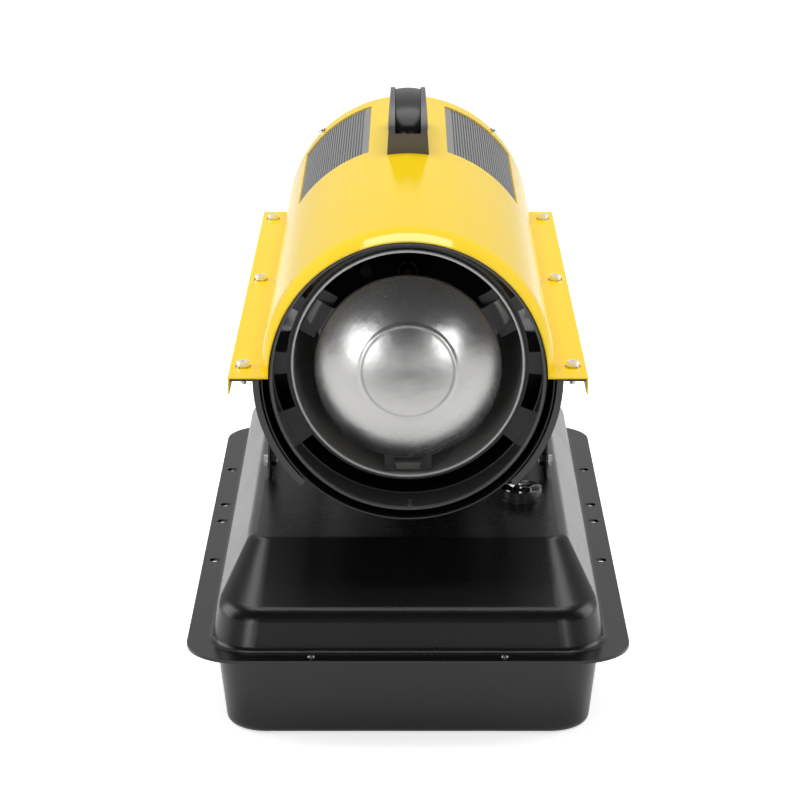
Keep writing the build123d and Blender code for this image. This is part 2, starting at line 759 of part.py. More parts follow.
# The neck ends a hair past the wings, so that no two faces of the shell fall together.
FACE_SPLIT = 0.0001
upper_core = barrel_core(SHELL_R, UPPER_NECK_R, BARREL_FRONT - FACE_SPLIT, BARREL_REAR)
upper_bore = barrel_core(
    SHELL_INNER_R, UPPER_NECK_R - SHELL_SHEET, BARREL_FRONT - PAST, BARREL_REAR + PAST
)
HANDLE_SCREW_Y = (HANDLE_FRONT + HANDLE_FOOT / 2, HANDLE_FRONT + HANDLE_LENGTH - HANDLE_FOOT / 2)
GUARD_SCREW_INSET = 9.0
GUARD_Y = BARREL_REAR - GUARD_SCREW_INSET
GUARD_SCREW_ANGLES = (45.0, 135.0, 225.0, 315.0)


def guard_screw_locations(radius):
    """Radial places round the barrel's rear end, each with its Z pointing out."""
    places = []
    for angle in GUARD_SCREW_ANGLES:
        turn = math.radians(angle)
        place = (radius * math.cos(turn), GUARD_Y, BARREL_Z + radius * math.sin(turn))
        places.append(Location(place, (0, 90 - angle, 0)))
    return places


with BuildPart() as upper_shell:
    add(upper_core)
    split(bisect_by=level(BARREL_Z), keep=Keep.TOP)
    with BuildSketch(level(BARREL_Z, 0, BARREL_MIDDLE)):
        Rectangle(2 * WING_HALF, BARREL_LENGTH)
    extrude(amount=SHELL_SHEET)
    bend_z = BARREL_Z + SHELL_SHEET
    bends = upper_shell.edges().filter_by_position(Axis.Z, bend_z - NEAR, bend_z + NEAR)
    bends = bends.filter_by(lambda edge: UPPER_NECK_R - 1 < abs(edge.center().X) < SHELL_R + 1)
    fillet(bends, WING_BEND_R)
    for side in (-1, 1):
        with Locations((side * (WING_HALF - SHELL_SHEET / 2), BARREL_MIDDLE, bend_z)):
            Box(
                SHELL_SHEET,
                BARREL_LENGTH,
                WING_LIP + SHELL_SHEET,
                align=(Align.CENTER, Align.CENTER, Align.MAX),
            )
    add(upper_bore, mode=Mode.SUBTRACT)
    for side in (-1, 1):
        angles = (90 - side * VENT_INNER_ANGLE, 90 - side * VENT_OUTER_ANGLE)
        with BuildSketch(across(VENT_REAR)):
            add(wedge(min(angles), max(angles)))
        extrude(amount=VENT_REAR - VENT_FRONT, mode=Mode.SUBTRACT)
    with BuildSketch(level(BARREL_Z)):
        with Locations(*wing_screw_places()):
            Circle(SCREW_HOLE_R)
    extrude(amount=SHELL_SHEET, mode=Mode.SUBTRACT)
    with BuildSketch(level(BARREL_Z + SHELL_INNER_R / 2)):
        with Locations(*[(0, y) for y in HANDLE_SCREW_Y]):
            Circle(SCREW_HOLE_R)
    extrude(amount=SHELL_R, mode=Mode.SUBTRACT)
    with Locations(*guard_screw_locations(SHELL_R)[:2]):
        Cylinder(SCREW_HOLE_R, 2 * PAST, mode=Mode.SUBTRACT)
save(upper_shell.part, "upper_shell")

# Where hoses and leads pass up through the lower shell: x, y and outer radius.
PUMP_FRONT = MOTOR_FRONT + MOTOR_LENGTH
COVER_FRONT = PUMP_FRONT + PUMP_LENGTH
PUMP_COVER_LENGTH = 24.0
AIR_BARB_INSET = 14.0
AIR_BARB_Y = COVER_FRONT + AIR_BARB_INSET
IGNITION_X, IGNITION_Y = 40.0, 102.0
PHOTO_X, PHOTO_Y = 50.0, 111.0
MOTOR_LEAD_X, MOTOR_LEAD_Y = 36.0, 200.0
MOTOR_LEAD_RISE = 20.0
GROMMET_WALL = 1.7
GROMMET_HEIGHT = 4.5
GROMMET_DROP = 1.5
GROMMET_GRIP = 0.1
PASSES = (
    (-HOSE_X, HOSE_Y, HOSE_R),
    (HOSE_X, HOSE_Y, HOSE_R),
    (HOSE_X, AIR_BARB_Y, HOSE_R),
    (IGNITION_X, IGNITION_Y, LEAD_R),
    (PHOTO_X, PHOTO_Y, LEAD_R),
    (MOTOR_LEAD_X, MOTOR_LEAD_Y, LEAD_R),
)

lower_core = barrel_core(SHELL_R, LOWER_NECK_R, BARREL_FRONT - FACE_SPLIT, BARREL_REAR)
lower_bore = barrel_core(
    SHELL_INNER_R, LOWER_NECK_R - SHELL_SHEET, BARREL_FRONT - PAST, BARREL_REAR + PAST
)
LOWER_WING_HALF = WING_HALF - SHELL_SHEET - SLIP
with BuildPart() as lower_shell:
    add(lower_core)
    split(bisect_by=level(BARREL_Z), keep=Keep.BOTTOM)
    with BuildSketch(level(BARREL_Z - SHELL_SHEET, 0, BARREL_MIDDLE)):
        Rectangle(2 * LOWER_WING_HALF, BARREL_LENGTH)
    extrude(amount=SHELL_SHEET)
    add(lower_bore, mode=Mode.SUBTRACT)
    with BuildSketch(level(BARREL_Z - SHELL_SHEET)):
        with Locations(*wing_screw_places()):
            Circle(SCREW_HOLE_R)
    extrude(amount=SHELL_SHEET, mode=Mode.SUBTRACT)
    for x, y, radius in PASSES:
        with BuildSketch(level(shell_drop(x) - PAST, x, y)):
            Circle(radius + GROMMET_WALL + SLIP)
        extrude(amount=3 * PAST, mode=Mode.SUBTRACT)
    with Locations(*guard_screw_locations(SHELL_R)[2:]):
        Cylinder(SCREW_HOLE_R, 2 * PAST, mode=Mode.SUBTRACT)
save(lower_shell.part, "lower_shell")

with BuildPart() as shell_grommets:
    for x, y, radius in PASSES:
        with BuildSketch(level(shell_drop(x) - GROMMET_DROP, x, y)):
            Circle(radius + GROMMET_WALL)
            Circle(radius + GROMMET_GRIP, mode=Mode.SUBTRACT)
        extrude(amount=GROMMET_HEIGHT)
save(shell_grommets.part, "shell_grommets")


def vent_grille(side):
    """One slotted intake grille, seated inside its opening in the upper shell."""
    outer_r = SHELL_INNER_R - SLIP / 2
    first = 90 - side * (VENT_INNER_ANGLE - GRILLE_LAP_ANGLE)
    last = 90 - side * (VENT_OUTER_ANGLE + GRILLE_LAP_ANGLE)
    rib_start = VENT_INNER_ANGLE + FIRST_SLOT_ANGLE
    rib_pitch = (VENT_OUTER_ANGLE - LAST_SLOT_ANGLE - rib_start) / VENT_SLOTS
    slot_length = VENT_REAR - VENT_FRONT - 2 * VENT_BORDER
    slots = []
    for number in range(VENT_SLOTS):
        lean = side * (rib_start + rib_pitch * (number + 0.5))
        turn = math.radians(lean)
        place = (outer_r * math.sin(turn), (VENT_REAR + VENT_FRONT) / 2, BARREL_Z + outer_r * math.cos(turn))
        slots.append(Location(place, (0, lean, 0)))
    with BuildPart() as grille:
        with BuildSketch(across(VENT_REAR + GRILLE_LAP)):
            add(wedge(min(first, last), max(first, last)))
            Circle(outer_r, mode=Mode.INTERSECT)
            Circle(outer_r - GRILLE_SHEET, mode=Mode.SUBTRACT)
        extrude(amount=VENT_REAR - VENT_FRONT + 2 * GRILLE_LAP)
        with Locations(*slots):
            Box(VENT_SLOT, slot_length, 4 * GRILLE_SHEET, mode=Mode.SUBTRACT)
    return grille.part


save(vent_grille(-1), "vent_grille_left")
save(vent_grille(1), "vent_grille_right")

# ---------------------------------------------------------------- side supports


def side_support(side):
    """A saddle band under one wing of the barrel, with two legs down to the tank."""
    length = SUPPORT_REAR - SUPPORT_FRONT
    flange_top = BARREL_Z - SHELL_SHEET
    if side > 0:
        arc = (-SUPPORT_ARC, 0.0)
    else:
        arc = (180.0, 180.0 + SUPPORT_ARC)
    with BuildPart() as support:
        with BuildSketch(across(SUPPORT_REAR)):
            add(wedge(*arc))
            Circle(SUPPORT_R, mode=Mode.INTERSECT)
            Circle(SUPPORT_R - SUPPORT_SHEET, mode=Mode.SUBTRACT)
        extrude(amount=length)
        for end in (SUPPORT_REAR, SUPPORT_FRONT + SUPPORT_SHEET):
            with BuildSketch(across(end)):
                add(wedge(*arc))
                Circle(SUPPORT_R, mode=Mode.INTERSECT)
                Circle(SHELL_R + SLIP, mode=Mode.SUBTRACT)
            extrude(amount=SUPPORT_SHEET)
        with BuildSketch(level(flange_top - SUPPORT_SHEET, 0, (SUPPORT_REAR + SUPPORT_FRONT) / 2)):
            inner_x = SHELL_R + SUPPORT_GAP
            with Locations((side * (inner_x + LOWER_WING_HALF) / 2, 0)):
                Rectangle(LOWER_WING_HALF - inner_x, length)
        extrude(amount=SUPPORT_SHEET)
        with BuildSketch(level(flange_top, 0, 0)):
            with Locations((0, (SUPPORT_REAR + SUPPORT_FRONT) / 2)):
                Rectangle(3 * WING_HALF, 2 * length)
        extrude(amount=PAST, mode=Mode.SUBTRACT)
        web_middle = WEB_X - SUPPORT_SHEET / 2
        web_top = shell_drop(web_middle, SUPPORT_R - SUPPORT_SHEET / 2)
        for leg_front, leg_rear in LEG_SPANS:
            with BuildSketch(level(PLATEAU_Z + SLIP, side * web_middle, (leg_front + leg_rear) / 2)):
                Rectangle(SUPPORT_SHEET, leg_rear - leg_front)
            extrude(amount=web_top - PLATEAU_Z - SLIP)
        with BuildSketch(level(flange_top - SUPPORT_SHEET)):
            with Locations(*wing_screw_places()):
                Circle(SCREW_HOLE_R)
        extrude(amount=SUPPORT_SHEET, mode=Mode.SUBTRACT)
        screw_z = PLATEAU_Z + LEG_SCREW_RISE
        with Locations(*[Location((side * WEB_X, y, screw_z), (0, 90, 0)) for y in LEG_SCREW_Y]):
            Cylinder(SCREW_HOLE_R, 2 * PAST, mode=Mode.SUBTRACT)
    return support.part


save(side_support(-1), "side_support_left")
save(side_support(1), "side_support_right")

# ---------------------------------------------------------------- fasteners


def leg_screw_planes(offset):
    """Planes that face outwards on the six leg screws, offset from the web's face."""
    planes = []
    for side in (-1, 1):
        for y in LEG_SCREW_Y:
            place = (side * (WEB_X + offset), y, PLATEAU_Z + LEG_SCREW_RISE)
            planes.append(Plane(origin=place, x_dir=(0, 1, 0), z_dir=(side, 0, 0)))
    return planes


def wing_screw_planes(offset):
    """Planes that face up on the six wing screws, offset from the wing's top."""
    return [level(BARREL_Z + SHELL_SHEET + offset, x, y) for x, y in wing_screw_places()]


WING_SHANK_PAST = 6.0
LEG_SHANK_PAST = 1.5
SCREW_FLANGE = 0.8
SCREW_HEX_R = SCREW_HEAD_R - 0.6
CROSS_LENGTH = 5.0
CROSS_WIDTH = 1.0
CROSS_DEPTH = 1.2
WASHER_TEETH = 12
TOOTH_GAP = (2.4, 1.3)
WING_SHANK = WASHER_SHEET + 2 * SHELL_SHEET + SUPPORT_SHEET + NUT_HEIGHT + WING_SHANK_PAST
LEG_SHANK = WASHER_SHEET + SUPPORT_SHEET + TANK_SHEET + NUT_HEIGHT + LEG_SHANK_PAST
with BuildPart() as screws:
    for planes, shank in (
        (wing_screw_planes(WASHER_SHEET), WING_SHANK),
        (leg_screw_planes(WASHER_SHEET), LEG_SHANK),
    ):
        for plane in planes:
            with BuildSketch(plane):
                RegularPolygon(SCREW_HEX_R, 6, major_radius=False)
            extrude(amount=SCREW_HEAD)
            with BuildSketch(plane):
                Circle(SCREW_HEAD_R)
            extrude(amount=SCREW_FLANGE)
            with BuildSketch(plane.offset(SCREW_HEAD - CROSS_DEPTH)):
                Rectangle(CROSS_LENGTH, CROSS_WIDTH)
                Rectangle(CROSS_WIDTH, CROSS_LENGTH)
            extrude(amount=CROSS_DEPTH, mode=Mode.SUBTRACT)
            with BuildSketch(plane):
                Circle(SCREW_R)
            extrude(amount=-shank)
save(screws.part, "screws")

with BuildPart() as lock_washers:
    for plane in wing_screw_planes(0.0) + leg_screw_planes(0.0):
        with BuildSketch(plane):
            Circle(WASHER_R)
            Circle(SCREW_HOLE_R, mode=Mode.SUBTRACT)
            with PolarLocations(WASHER_R, WASHER_TEETH):
                Rectangle(*TOOTH_GAP, mode=Mode.SUBTRACT)
        extrude(amount=WASHER_SHEET)
save(lock_washers.part, "lock_washers")

with BuildPart() as nuts:
    wing_stack = 2 * SHELL_SHEET + SUPPORT_SHEET + NUT_HEIGHT
    leg_stack = SUPPORT_SHEET + TANK_SHEET + NUT_HEIGHT
    for plane in wing_screw_planes(-wing_stack) + leg_screw_planes(-leg_stack):
        with BuildSketch(plane):
            RegularPolygon(NUT_ACROSS / 2, 6, major_radius=False)
            Circle(SCREW_R + SEAT, mode=Mode.SUBTRACT)
        extrude(amount=NUT_HEIGHT)
save(nuts.part, "nuts")

# ---------------------------------------------------------------- handle

HANDLE_REAR = HANDLE_FRONT + HANDLE_LENGTH
HANDLE_MIDDLE = HANDLE_FRONT + HANDLE_LENGTH / 2
HANDLE_TOP = BARREL_Z + SHELL_R + HANDLE_HEIGHT
GAP_TOP = HANDLE_TOP - GRIP_THICKNESS
FOOT_FACE_RISE = 15.3
FOOT_DEPTH = 8.0
FOOT_FACE_TOP = BARREL_Z + SHELL_R + FOOT_FACE_RISE
HANDLE_LOW = BARREL_Z + SHELL_R - FOOT_DEPTH
ARCH_RISE = HANDLE_TOP - FOOT_FACE_TOP
HANDLE_EDGE_R = 2.2
GAP_CORNER_R = 8.0
GROOVE_WIDTH = 20.5
GROOVE_DEPTH = 5.0
PAN_HEAD_R = 3.5
PAN_HEAD = 2.4
HANDLE_SCREW_LENGTH = 14.0

with BuildPart() as handle:
    with BuildSketch(Plane.YZ):
        with Locations((HANDLE_MIDDLE, HANDLE_LOW)):
            Rectangle(HANDLE_LENGTH, FOOT_FACE_TOP - HANDLE_LOW, align=(Align.CENTER, Align.MIN))
        with Locations((HANDLE_MIDDLE, FOOT_FACE_TOP)):
            Ellipse(HANDLE_LENGTH / 2, ARCH_RISE)
        with Locations((HANDLE_MIDDLE, GAP_TOP)):
            Rectangle(
                HANDLE_LENGTH - 2 * HANDLE_FOOT,
                GAP_TOP - HANDLE_LOW + PAST,
                align=(Align.CENTER, Align.MAX),
                mode=Mode.SUBTRACT,
            )
        fillet(vertices().filter_by_position(Axis.Y, GAP_TOP - NEAR, GAP_TOP + NEAR), GAP_CORNER_R)
    extrude(amount=HANDLE_FOOT_WIDTH / 2, both=True)
    # Seen from the front the handle narrows upwards.
    with BuildSketch(across(HANDLE_REAR + PAST, z=0.0)):
        with BuildLine():
            Polyline(
                (-HANDLE_FOOT_WIDTH / 2, HANDLE_LOW),
                (-HANDLE_TOP_WIDTH / 2, HANDLE_TOP),
                (HANDLE_TOP_WIDTH / 2, HANDLE_TOP),
                (HANDLE_FOOT_WIDTH / 2, HANDLE_LOW),
                close=True,
            )
        make_face()
    extrude(amount=HANDLE_LENGTH + 2 * PAST, mode=Mode.INTERSECT)
    arch = handle.edges().filter_by(GeomType.ELLIPSE).filter_by_position(Axis.Z, FOOT_FACE_TOP, HANDLE_TOP)
    fillet(arch, HANDLE_EDGE_R)
    add(tube(HANDLE_REAR + PAST, HANDLE_LENGTH + 2 * PAST, SHELL_R + SEAT, 1.0), mode=Mode.SUBTRACT)
    # The groove that runs over the arch between two rails.
    with BuildSketch(Plane.YZ):
        with Locations((HANDLE_MIDDLE, FOOT_FACE_TOP)):
            Ellipse(HANDLE_LENGTH / 2 + PAST, ARCH_RISE + PAST)
            Ellipse(HANDLE_LENGTH / 2 - GROOVE_DEPTH, ARCH_RISE - GROOVE_DEPTH, mode=Mode.SUBTRACT)
            Rectangle(
                HANDLE_LENGTH + 4 * PAST,
                2 * ARCH_RISE,
                align=(Align.CENTER, Align.MAX),
                mode=Mode.SUBTRACT,
            )
    extrude(amount=GROOVE_WIDTH / 2, both=True, mode=Mode.SUBTRACT)
    with BuildSketch(level(HANDLE_LOW)):
        with Locations(*[(0, y) for y in HANDLE_SCREW_Y]):
            Circle(SCREW_R + SEAT)
    extrude(amount=HANDLE_SCREW_LENGTH + FOOT_DEPTH, mode=Mode.SUBTRACT)
save(handle.part, "handle")

# ---------------------------------------------------------------- outlet ring and chamber

# Tabs left between the ring's windows: middle and half width in degrees from +X.
RING_TABS = (
    (-29.7, 8.0),
    (0.0, 5.0),
    (29.5, 3.5),
    (90.0, 9.0),
    (150.5, 3.5),
    (180.0, 5.0),
    (209.7, 8.0),
)
FLOOR_BORE_R = CHAMBER_R + 0.5

with BuildPart() as outlet_ring:
    with BuildSketch(ALONG):
        with BuildLine():
            Polyline(
                (RING_FRONT, RING_R),
                (RING_FLOOR + RING_SHEET, RING_R),
                (RING_FLOOR + RING_SHEET, FLOOR_BORE_R),
                (RING_FLOOR, FLOOR_BORE_R),
                (RING_FLOOR, RING_R - RING_SHEET),
                (RING_FRONT, RING_R - RING_SHEET),
                close=True,
            )
        make_face()
        with Locations((RING_FRONT, RING_R - BEAD_R)):
            Circle(BEAD_R)
    revolve(axis=BARREL_AXIS)
    following = RING_TABS[1:] + ((RING_TABS[0][0] + 360.0, RING_TABS[0][1]),)
    for (tab, half), (next_tab, next_half) in zip(RING_TABS, following):
        with BuildSketch(across(RING_FLOOR + 2 * RING_SHEET)):
            add(wedge(tab + half, next_tab - next_half))
            Circle(WINDOW_OUTER_R, mode=Mode.INTERSECT)
            Circle(WINDOW_INNER_R, mode=Mode.SUBTRACT)
        extrude(amount=3 * RING_SHEET, mode=Mode.SUBTRACT)
    for x, y in SEAM_RIVETS:
        with BuildSketch(level(BARREL_Z - RING_R - PAST, x, y)):
            Circle(SEAM_RIVET_R + RUNNING)
        extrude(amount=2 * PAST, mode=Mode.SUBTRACT)
save(outlet_ring.part, "outlet_ring")

CLIP_WIDTH = 16.0
CLIP_LENGTH = 12.0
CLIP_SHEET = 1.2
CLIP_Y = 60.0
CLIP_ANGLES = (90.0, 210.0, 330.0)


def spoke_locations(y, radius, angles):
    """Places round the barrel's axis, each turned so that its Z points outwards."""
    places = []
    for angle in angles:
        turn = math.radians(angle)
        place = (radius * math.cos(turn), y, BARREL_Z + radius * math.sin(turn))
        places.append(Location(place, (0, 90 - angle, 0)))
    return places


with BuildPart() as chamber_tube:
    with BuildSketch(ALONG):
        with BuildLine():
            Polyline(
                (CHAMBER_FRONT, CHAMBER_R),
                (CHAMBER_REAR, CHAMBER_R),
                (CHAMBER_REAR, CHAMBER_R - CHAMBER_SHEET),
                (CHAMBER_FRONT, CHAMBER_R - CHAMBER_SHEET),
                close=True,
            )
        make_face()
        with Locations((CHAMBER_FRONT, CHAMBER_R - CHAMBER_SHEET + CHAMBER_BEAD_R)):
            Circle(CHAMBER_BEAD_R)
    revolve(axis=BARREL_AXIS)
    # Welded clips that centre the tube inside the shells.
    clip_top = math.sqrt((SHELL_INNER_R - SLIP) ** 2 - (CLIP_WIDTH / 2) ** 2)
    with Locations(*spoke_locations(CLIP_Y, (clip_top + CHAMBER_R) / 2, CLIP_ANGLES)):
        Box(CLIP_WIDTH, CLIP_SHEET, clip_top - CHAMBER_R)
    with Locations(*spoke_locations(CLIP_Y, clip_top - CLIP_SHEET / 2, CLIP_ANGLES)):
        Box(CLIP_WIDTH, CLIP_LENGTH, CLIP_SHEET)
    with Locations(*spoke_locations(CLIP_Y, CHAMBER_R, CLIP_ANGLES)):
        Box(CLIP_WIDTH, CLIP_LENGTH, CLIP_SHEET)
save(chamber_tube.part, "chamber_tube")

HEAD_SHEET = 1.0
HEAD_SKIRT = 10.0
HEAD_BORE_R = 13.0
ELECTRODE_X = 9.0
ELECTRODE_RISE = 26.0
CERAMIC_R = 3.0
PHOTOCELL_X = -34.0
PHOTOCELL_R = 7.0
SNOUT_R = 5.2
SNOUT = 7.0
HEAD_SLOT_CIRCLE = 58.0
HEAD_SLOTS = 10
HEAD_SLOT = (26.0, 5.0)
HEAD_BACK = CHAMBER_REAR + SLIP + HEAD_SHEET
head_form = turned(
    (CHAMBER_REAR - HEAD_SKIRT, CHAMBER_R + SLIP),
    (CHAMBER_REAR - HEAD_SKIRT, CHAMBER_R + SLIP + HEAD_SHEET),
    (HEAD_BACK, CHAMBER_R + SLIP + HEAD_SHEET),
    (HEAD_BACK, HEAD_BORE_R),
    (CHAMBER_REAR + SLIP, HEAD_BORE_R),
    (CHAMBER_REAR + SLIP, CHAMBER_R + SLIP),
)
with BuildPart() as burner_head:
    add(head_form)
    with BuildSketch(across(HEAD_BACK)):
        with PolarLocations(HEAD_SLOT_CIRCLE, HEAD_SLOTS):
            SlotOverall(*HEAD_SLOT)
        with Locations((-ELECTRODE_X, ELECTRODE_RISE), (ELECTRODE_X, ELECTRODE_RISE)):
            Circle(CERAMIC_R + SLIP)
        with Locations((PHOTOCELL_X, 0)):
            Circle(SNOUT_R + SLIP)
    extrude(amount=HEAD_SHEET, mode=Mode.SUBTRACT)
save(burner_head.part, "burner_head")

DOME_GROOVE = 1.2
DOME_GROOVE_HALF = 3.0
DOME_RING_SHARE = 0.66
WELD_GAP = 0.1
TUBE_WALL_R = CHAMBER_R - CHAMBER_SHEET - WELD_GAP
DOME_LEG_REACH = math.sqrt(TUBE_WALL_R**2 - (DOME_LEG_WIDTH / 2) ** 2)
DOME_LEG_FOOT = 18.0
DOME_LEG_LAP = 4.0
LEG_ANGLES = (30.0, 150.0, 270.0)


def dome_profile(setback):
    """The dome's front face in (y, radius), moved back by the sheet."""
    tip = DOME_EDGE - DOME_RISE + setback
    ring_y = DOME_EDGE - DOME_RING_SHARE * DOME_RISE + setback
    return (
        (tip, 0.0),
        (tip + 1.6, DOME_RING_R / 2),
        (ring_y - DOME_GROOVE, DOME_RING_R - DOME_GROOVE_HALF),
        (ring_y + DOME_GROOVE, DOME_RING_R),
        (ring_y, DOME_RING_R + DOME_GROOVE_HALF),
        (DOME_EDGE + setback, DOME_R),
    )


with BuildPart() as flame_dome:
    front = dome_profile(0.0)
    back = dome_profile(DOME_SHEET)
    with BuildSketch(ALONG):
        with BuildLine():
            Spline(*front, tangents=((0, 1), (0.5, 1)))
            Line(front[-1], back[-1])
            Spline(*reversed(back), tangents=((-0.5, -1), (0, -1)))
            Line(back[0], front[0])
        make_face()
    revolve(axis=BARREL_AXIS)
    leg_low = DOME_R - DOME_LEG_LAP
    with Locations(*spoke_locations(DOME_EDGE + DOME_SHEET / 2, (leg_low + DOME_LEG_REACH) / 2, LEG_ANGLES)):
        Box(DOME_LEG_WIDTH, DOME_SHEET, DOME_LEG_REACH - leg_low)
    foot_y = DOME_EDGE + DOME_LEG_FOOT / 2
    with Locations(*spoke_locations(foot_y, DOME_LEG_REACH - DOME_SHEET / 2, LEG_ANGLES)):
        Box(DOME_LEG_WIDTH, DOME_LEG_FOOT, DOME_SHEET)
save(flame_dome.part, "flame_dome")

BRACKET_WIDTH = 34.5
BRACKET_Y = -214.0
BRACKET_LOW = 68.0
with BuildPart() as dome_brackets:
    bracket_top = math.sqrt(TUBE_WALL_R**2 - (BRACKET_WIDTH / 2) ** 2)
    with Locations(*spoke_locations(BRACKET_Y, (BRACKET_LOW + bracket_top) / 2, LEG_ANGLES)):
        Box(BRACKET_WIDTH, DOME_SHEET, bracket_top - BRACKET_LOW)
save(dome_brackets.part, "dome_brackets")

# ---------------------------------------------------------------- burner

HOLDER_HALF_WIDTH = 15.0
HOLDER_HALF_HEIGHT = 10.0
HOLDER_PAST_HOSE = 8.0
HOLDER_REAR = HOSE_Y + HOLDER_PAST_HOSE
HOLDER_FLANGE = 2.0
HOLDER_FLANGE_R = HEAD_BORE_R + 4.0
BARB_R = HOSE_BORE_R - 0.1
BARB_LENGTH = 9.0
BARB_ROOT = 2.0
with BuildPart() as nozzle_holder:
    with BuildSketch(across(HOLDER_REAR)):
        RectangleRounded(2 * HOLDER_HALF_WIDTH, 2 * HOLDER_HALF_HEIGHT, 2.0)
    extrude(amount=HOLDER_REAR - HEAD_BACK - HOLDER_FLANGE)
    with BuildSketch(across(HEAD_BACK + HOLDER_FLANGE)):
        Circle(HOLDER_FLANGE_R)
    extrude(amount=HOLDER_FLANGE)
    with BuildSketch(level(BARREL_Z - HOLDER_HALF_HEIGHT - BARB_LENGTH)):
        with Locations((-HOSE_X, HOSE_Y), (HOSE_X, HOSE_Y)):
            Circle(BARB_R)
    extrude(amount=BARB_LENGTH + BARB_ROOT)
save(nozzle_holder.part, "nozzle_holder")

NOZZLE_HEX_R = 8.0
NOZZLE_HEX = 10.0
NOZZLE_R = 7.0
NOZZLE_TIP = 5.0
NOZZLE_BORE_R = 0.5
NOZZLE_BORE = 4.0
with BuildPart() as fuel_nozzle:
    with BuildSketch(across(HEAD_BACK)):
        RegularPolygon(NOZZLE_HEX_R, 6, major_radius=False)
    extrude(amount=NOZZLE_HEX)
    with BuildSketch(across(HEAD_BACK - NOZZLE_HEX)):
        Circle(NOZZLE_R)
    extrude(amount=NOZZLE_TIP, taper=35)
    with BuildSketch(across(HEAD_BACK - NOZZLE_HEX - NOZZLE_TIP)):
        Circle(NOZZLE_BORE_R)
    extrude(amount=-NOZZLE_BORE, mode=Mode.SUBTRACT)
save(fuel_nozzle.part, "fuel_nozzle")

CERAMIC_REAR = 97.0
CERAMIC_LENGTH = 37.0
ELECTRODE_WIRE_R = 1.0
ELECTRODE_WIRE = 12.0
ELECTRODE_BLOCK = 12.0
with BuildPart() as spark_electrodes:
    for side in (-1, 1):
        with BuildSketch(across(CERAMIC_REAR, side * ELECTRODE_X, BARREL_Z + ELECTRODE_RISE)):
            Circle(CERAMIC_R)
        extrude(amount=CERAMIC_LENGTH)
        wire_rear = CERAMIC_REAR - CERAMIC_LENGTH
        with BuildSketch(across(wire_rear, side * ELECTRODE_X, BARREL_Z + ELECTRODE_RISE)):
            Circle(ELECTRODE_WIRE_R)
        extrude(amount=ELECTRODE_WIRE)
    with BuildSketch(across(CERAMIC_REAR + ELECTRODE_BLOCK, 0, BARREL_Z + ELECTRODE_RISE)):
        RectangleRounded(30.0, ELECTRODE_BLOCK, 2.0)
    extrude(amount=ELECTRODE_BLOCK)
save(spark_electrodes.part, "spark_electrodes")

LEAD_START_Y = BOX_FRONT + 8.0
ignition_route = (
    (IGNITION_X, LEAD_START_Y, UNDER_Z),
    (IGNITION_X, IGNITION_Y, UNDER_Z),
    (IGNITION_X, IGNITION_Y, BARREL_Z + ELECTRODE_RISE),
    (15.0, IGNITION_Y, BARREL_Z + ELECTRODE_RISE),
)
ignition_lead = swept_tube(ignition_route, (LEAD_BEND_R, LEAD_BEND_R), LEAD_R)

PHOTOCELL_REAR = PHOTO_Y + 4.0
with BuildPart() as photocell:
    with BuildSketch(across(PHOTOCELL_REAR, PHOTOCELL_X)):
        Circle(PHOTOCELL_R)
    extrude(amount=PHOTOCELL_REAR - HEAD_BACK)
    with BuildSketch(across(HEAD_BACK, PHOTOCELL_X)):
        Circle(SNOUT_R)
    extrude(amount=SNOUT)
save(photocell.part, "photocell")

CROSSING_DROP = 76.0
CROSSING_Z = BARREL_Z - CROSSING_DROP
photocell_route = (
    (PHOTOCELL_X, PHOTO_Y, BARREL_Z - PHOTOCELL_R),
    (PHOTOCELL_X, PHOTO_Y, CROSSING_Z),
    (PHOTO_X, PHOTO_Y, CROSSING_Z),
    (PHOTO_X, PHOTO_Y, UNDER_Z),
    (PHOTO_X, LEAD_START_Y, UNDER_Z),
)
photocell_cable = swept_tube(photocell_route, (LEAD_BEND_R,) * 3, LEAD_R)
motor_lead_top = BARREL_Z - math.sqrt(MOTOR_R**2 - (MOTOR_LEAD_X - LEAD_R) ** 2) - SLIP
motor_route = (
    (MOTOR_LEAD_X, MOTOR_LEAD_Y, motor_lead_top),
    (MOTOR_LEAD_X, MOTOR_LEAD_Y, PLATEAU_Z + MOTOR_LEAD_RISE),
)
motor_cable = swept_tube(motor_route, (), LEAD_R)
with BuildPart() as leads:
    add(ignition_lead)
    add(photocell_cable)
    add(motor_cable)
save(leads.part, "leads")

# ---------------------------------------------------------------- motor

CASE_FRONT = MOTOR_FRONT + BELL_LENGTH
CASE_REAR = MOTOR_FRONT + MOTOR_LENGTH - BELL_LENGTH
MOTOR_REAR = MOTOR_FRONT + MOTOR_LENGTH
STATOR_R = MOTOR_R - MOTOR_WALL - SEAT
STATOR_INSET = 10.0
STATOR_FRONT = CASE_FRONT + STATOR_INSET
STATOR_REAR = CASE_REAR - STATOR_INSET
WINDING_R = STATOR_R - 4.0
WINDING_BORE_R = ROTOR_R + 3.0
WINDING = 6.0
AIR_GAP = 0.6
BEARING_LENGTH = 6.0
BELL_LIP = 2.0
BELL_SHAFT_GAP = 1.0
BELL_HOLE_CIRCLE = 30.0
BELL_HOLES = 6
BELL_HOLE_R = 4.5

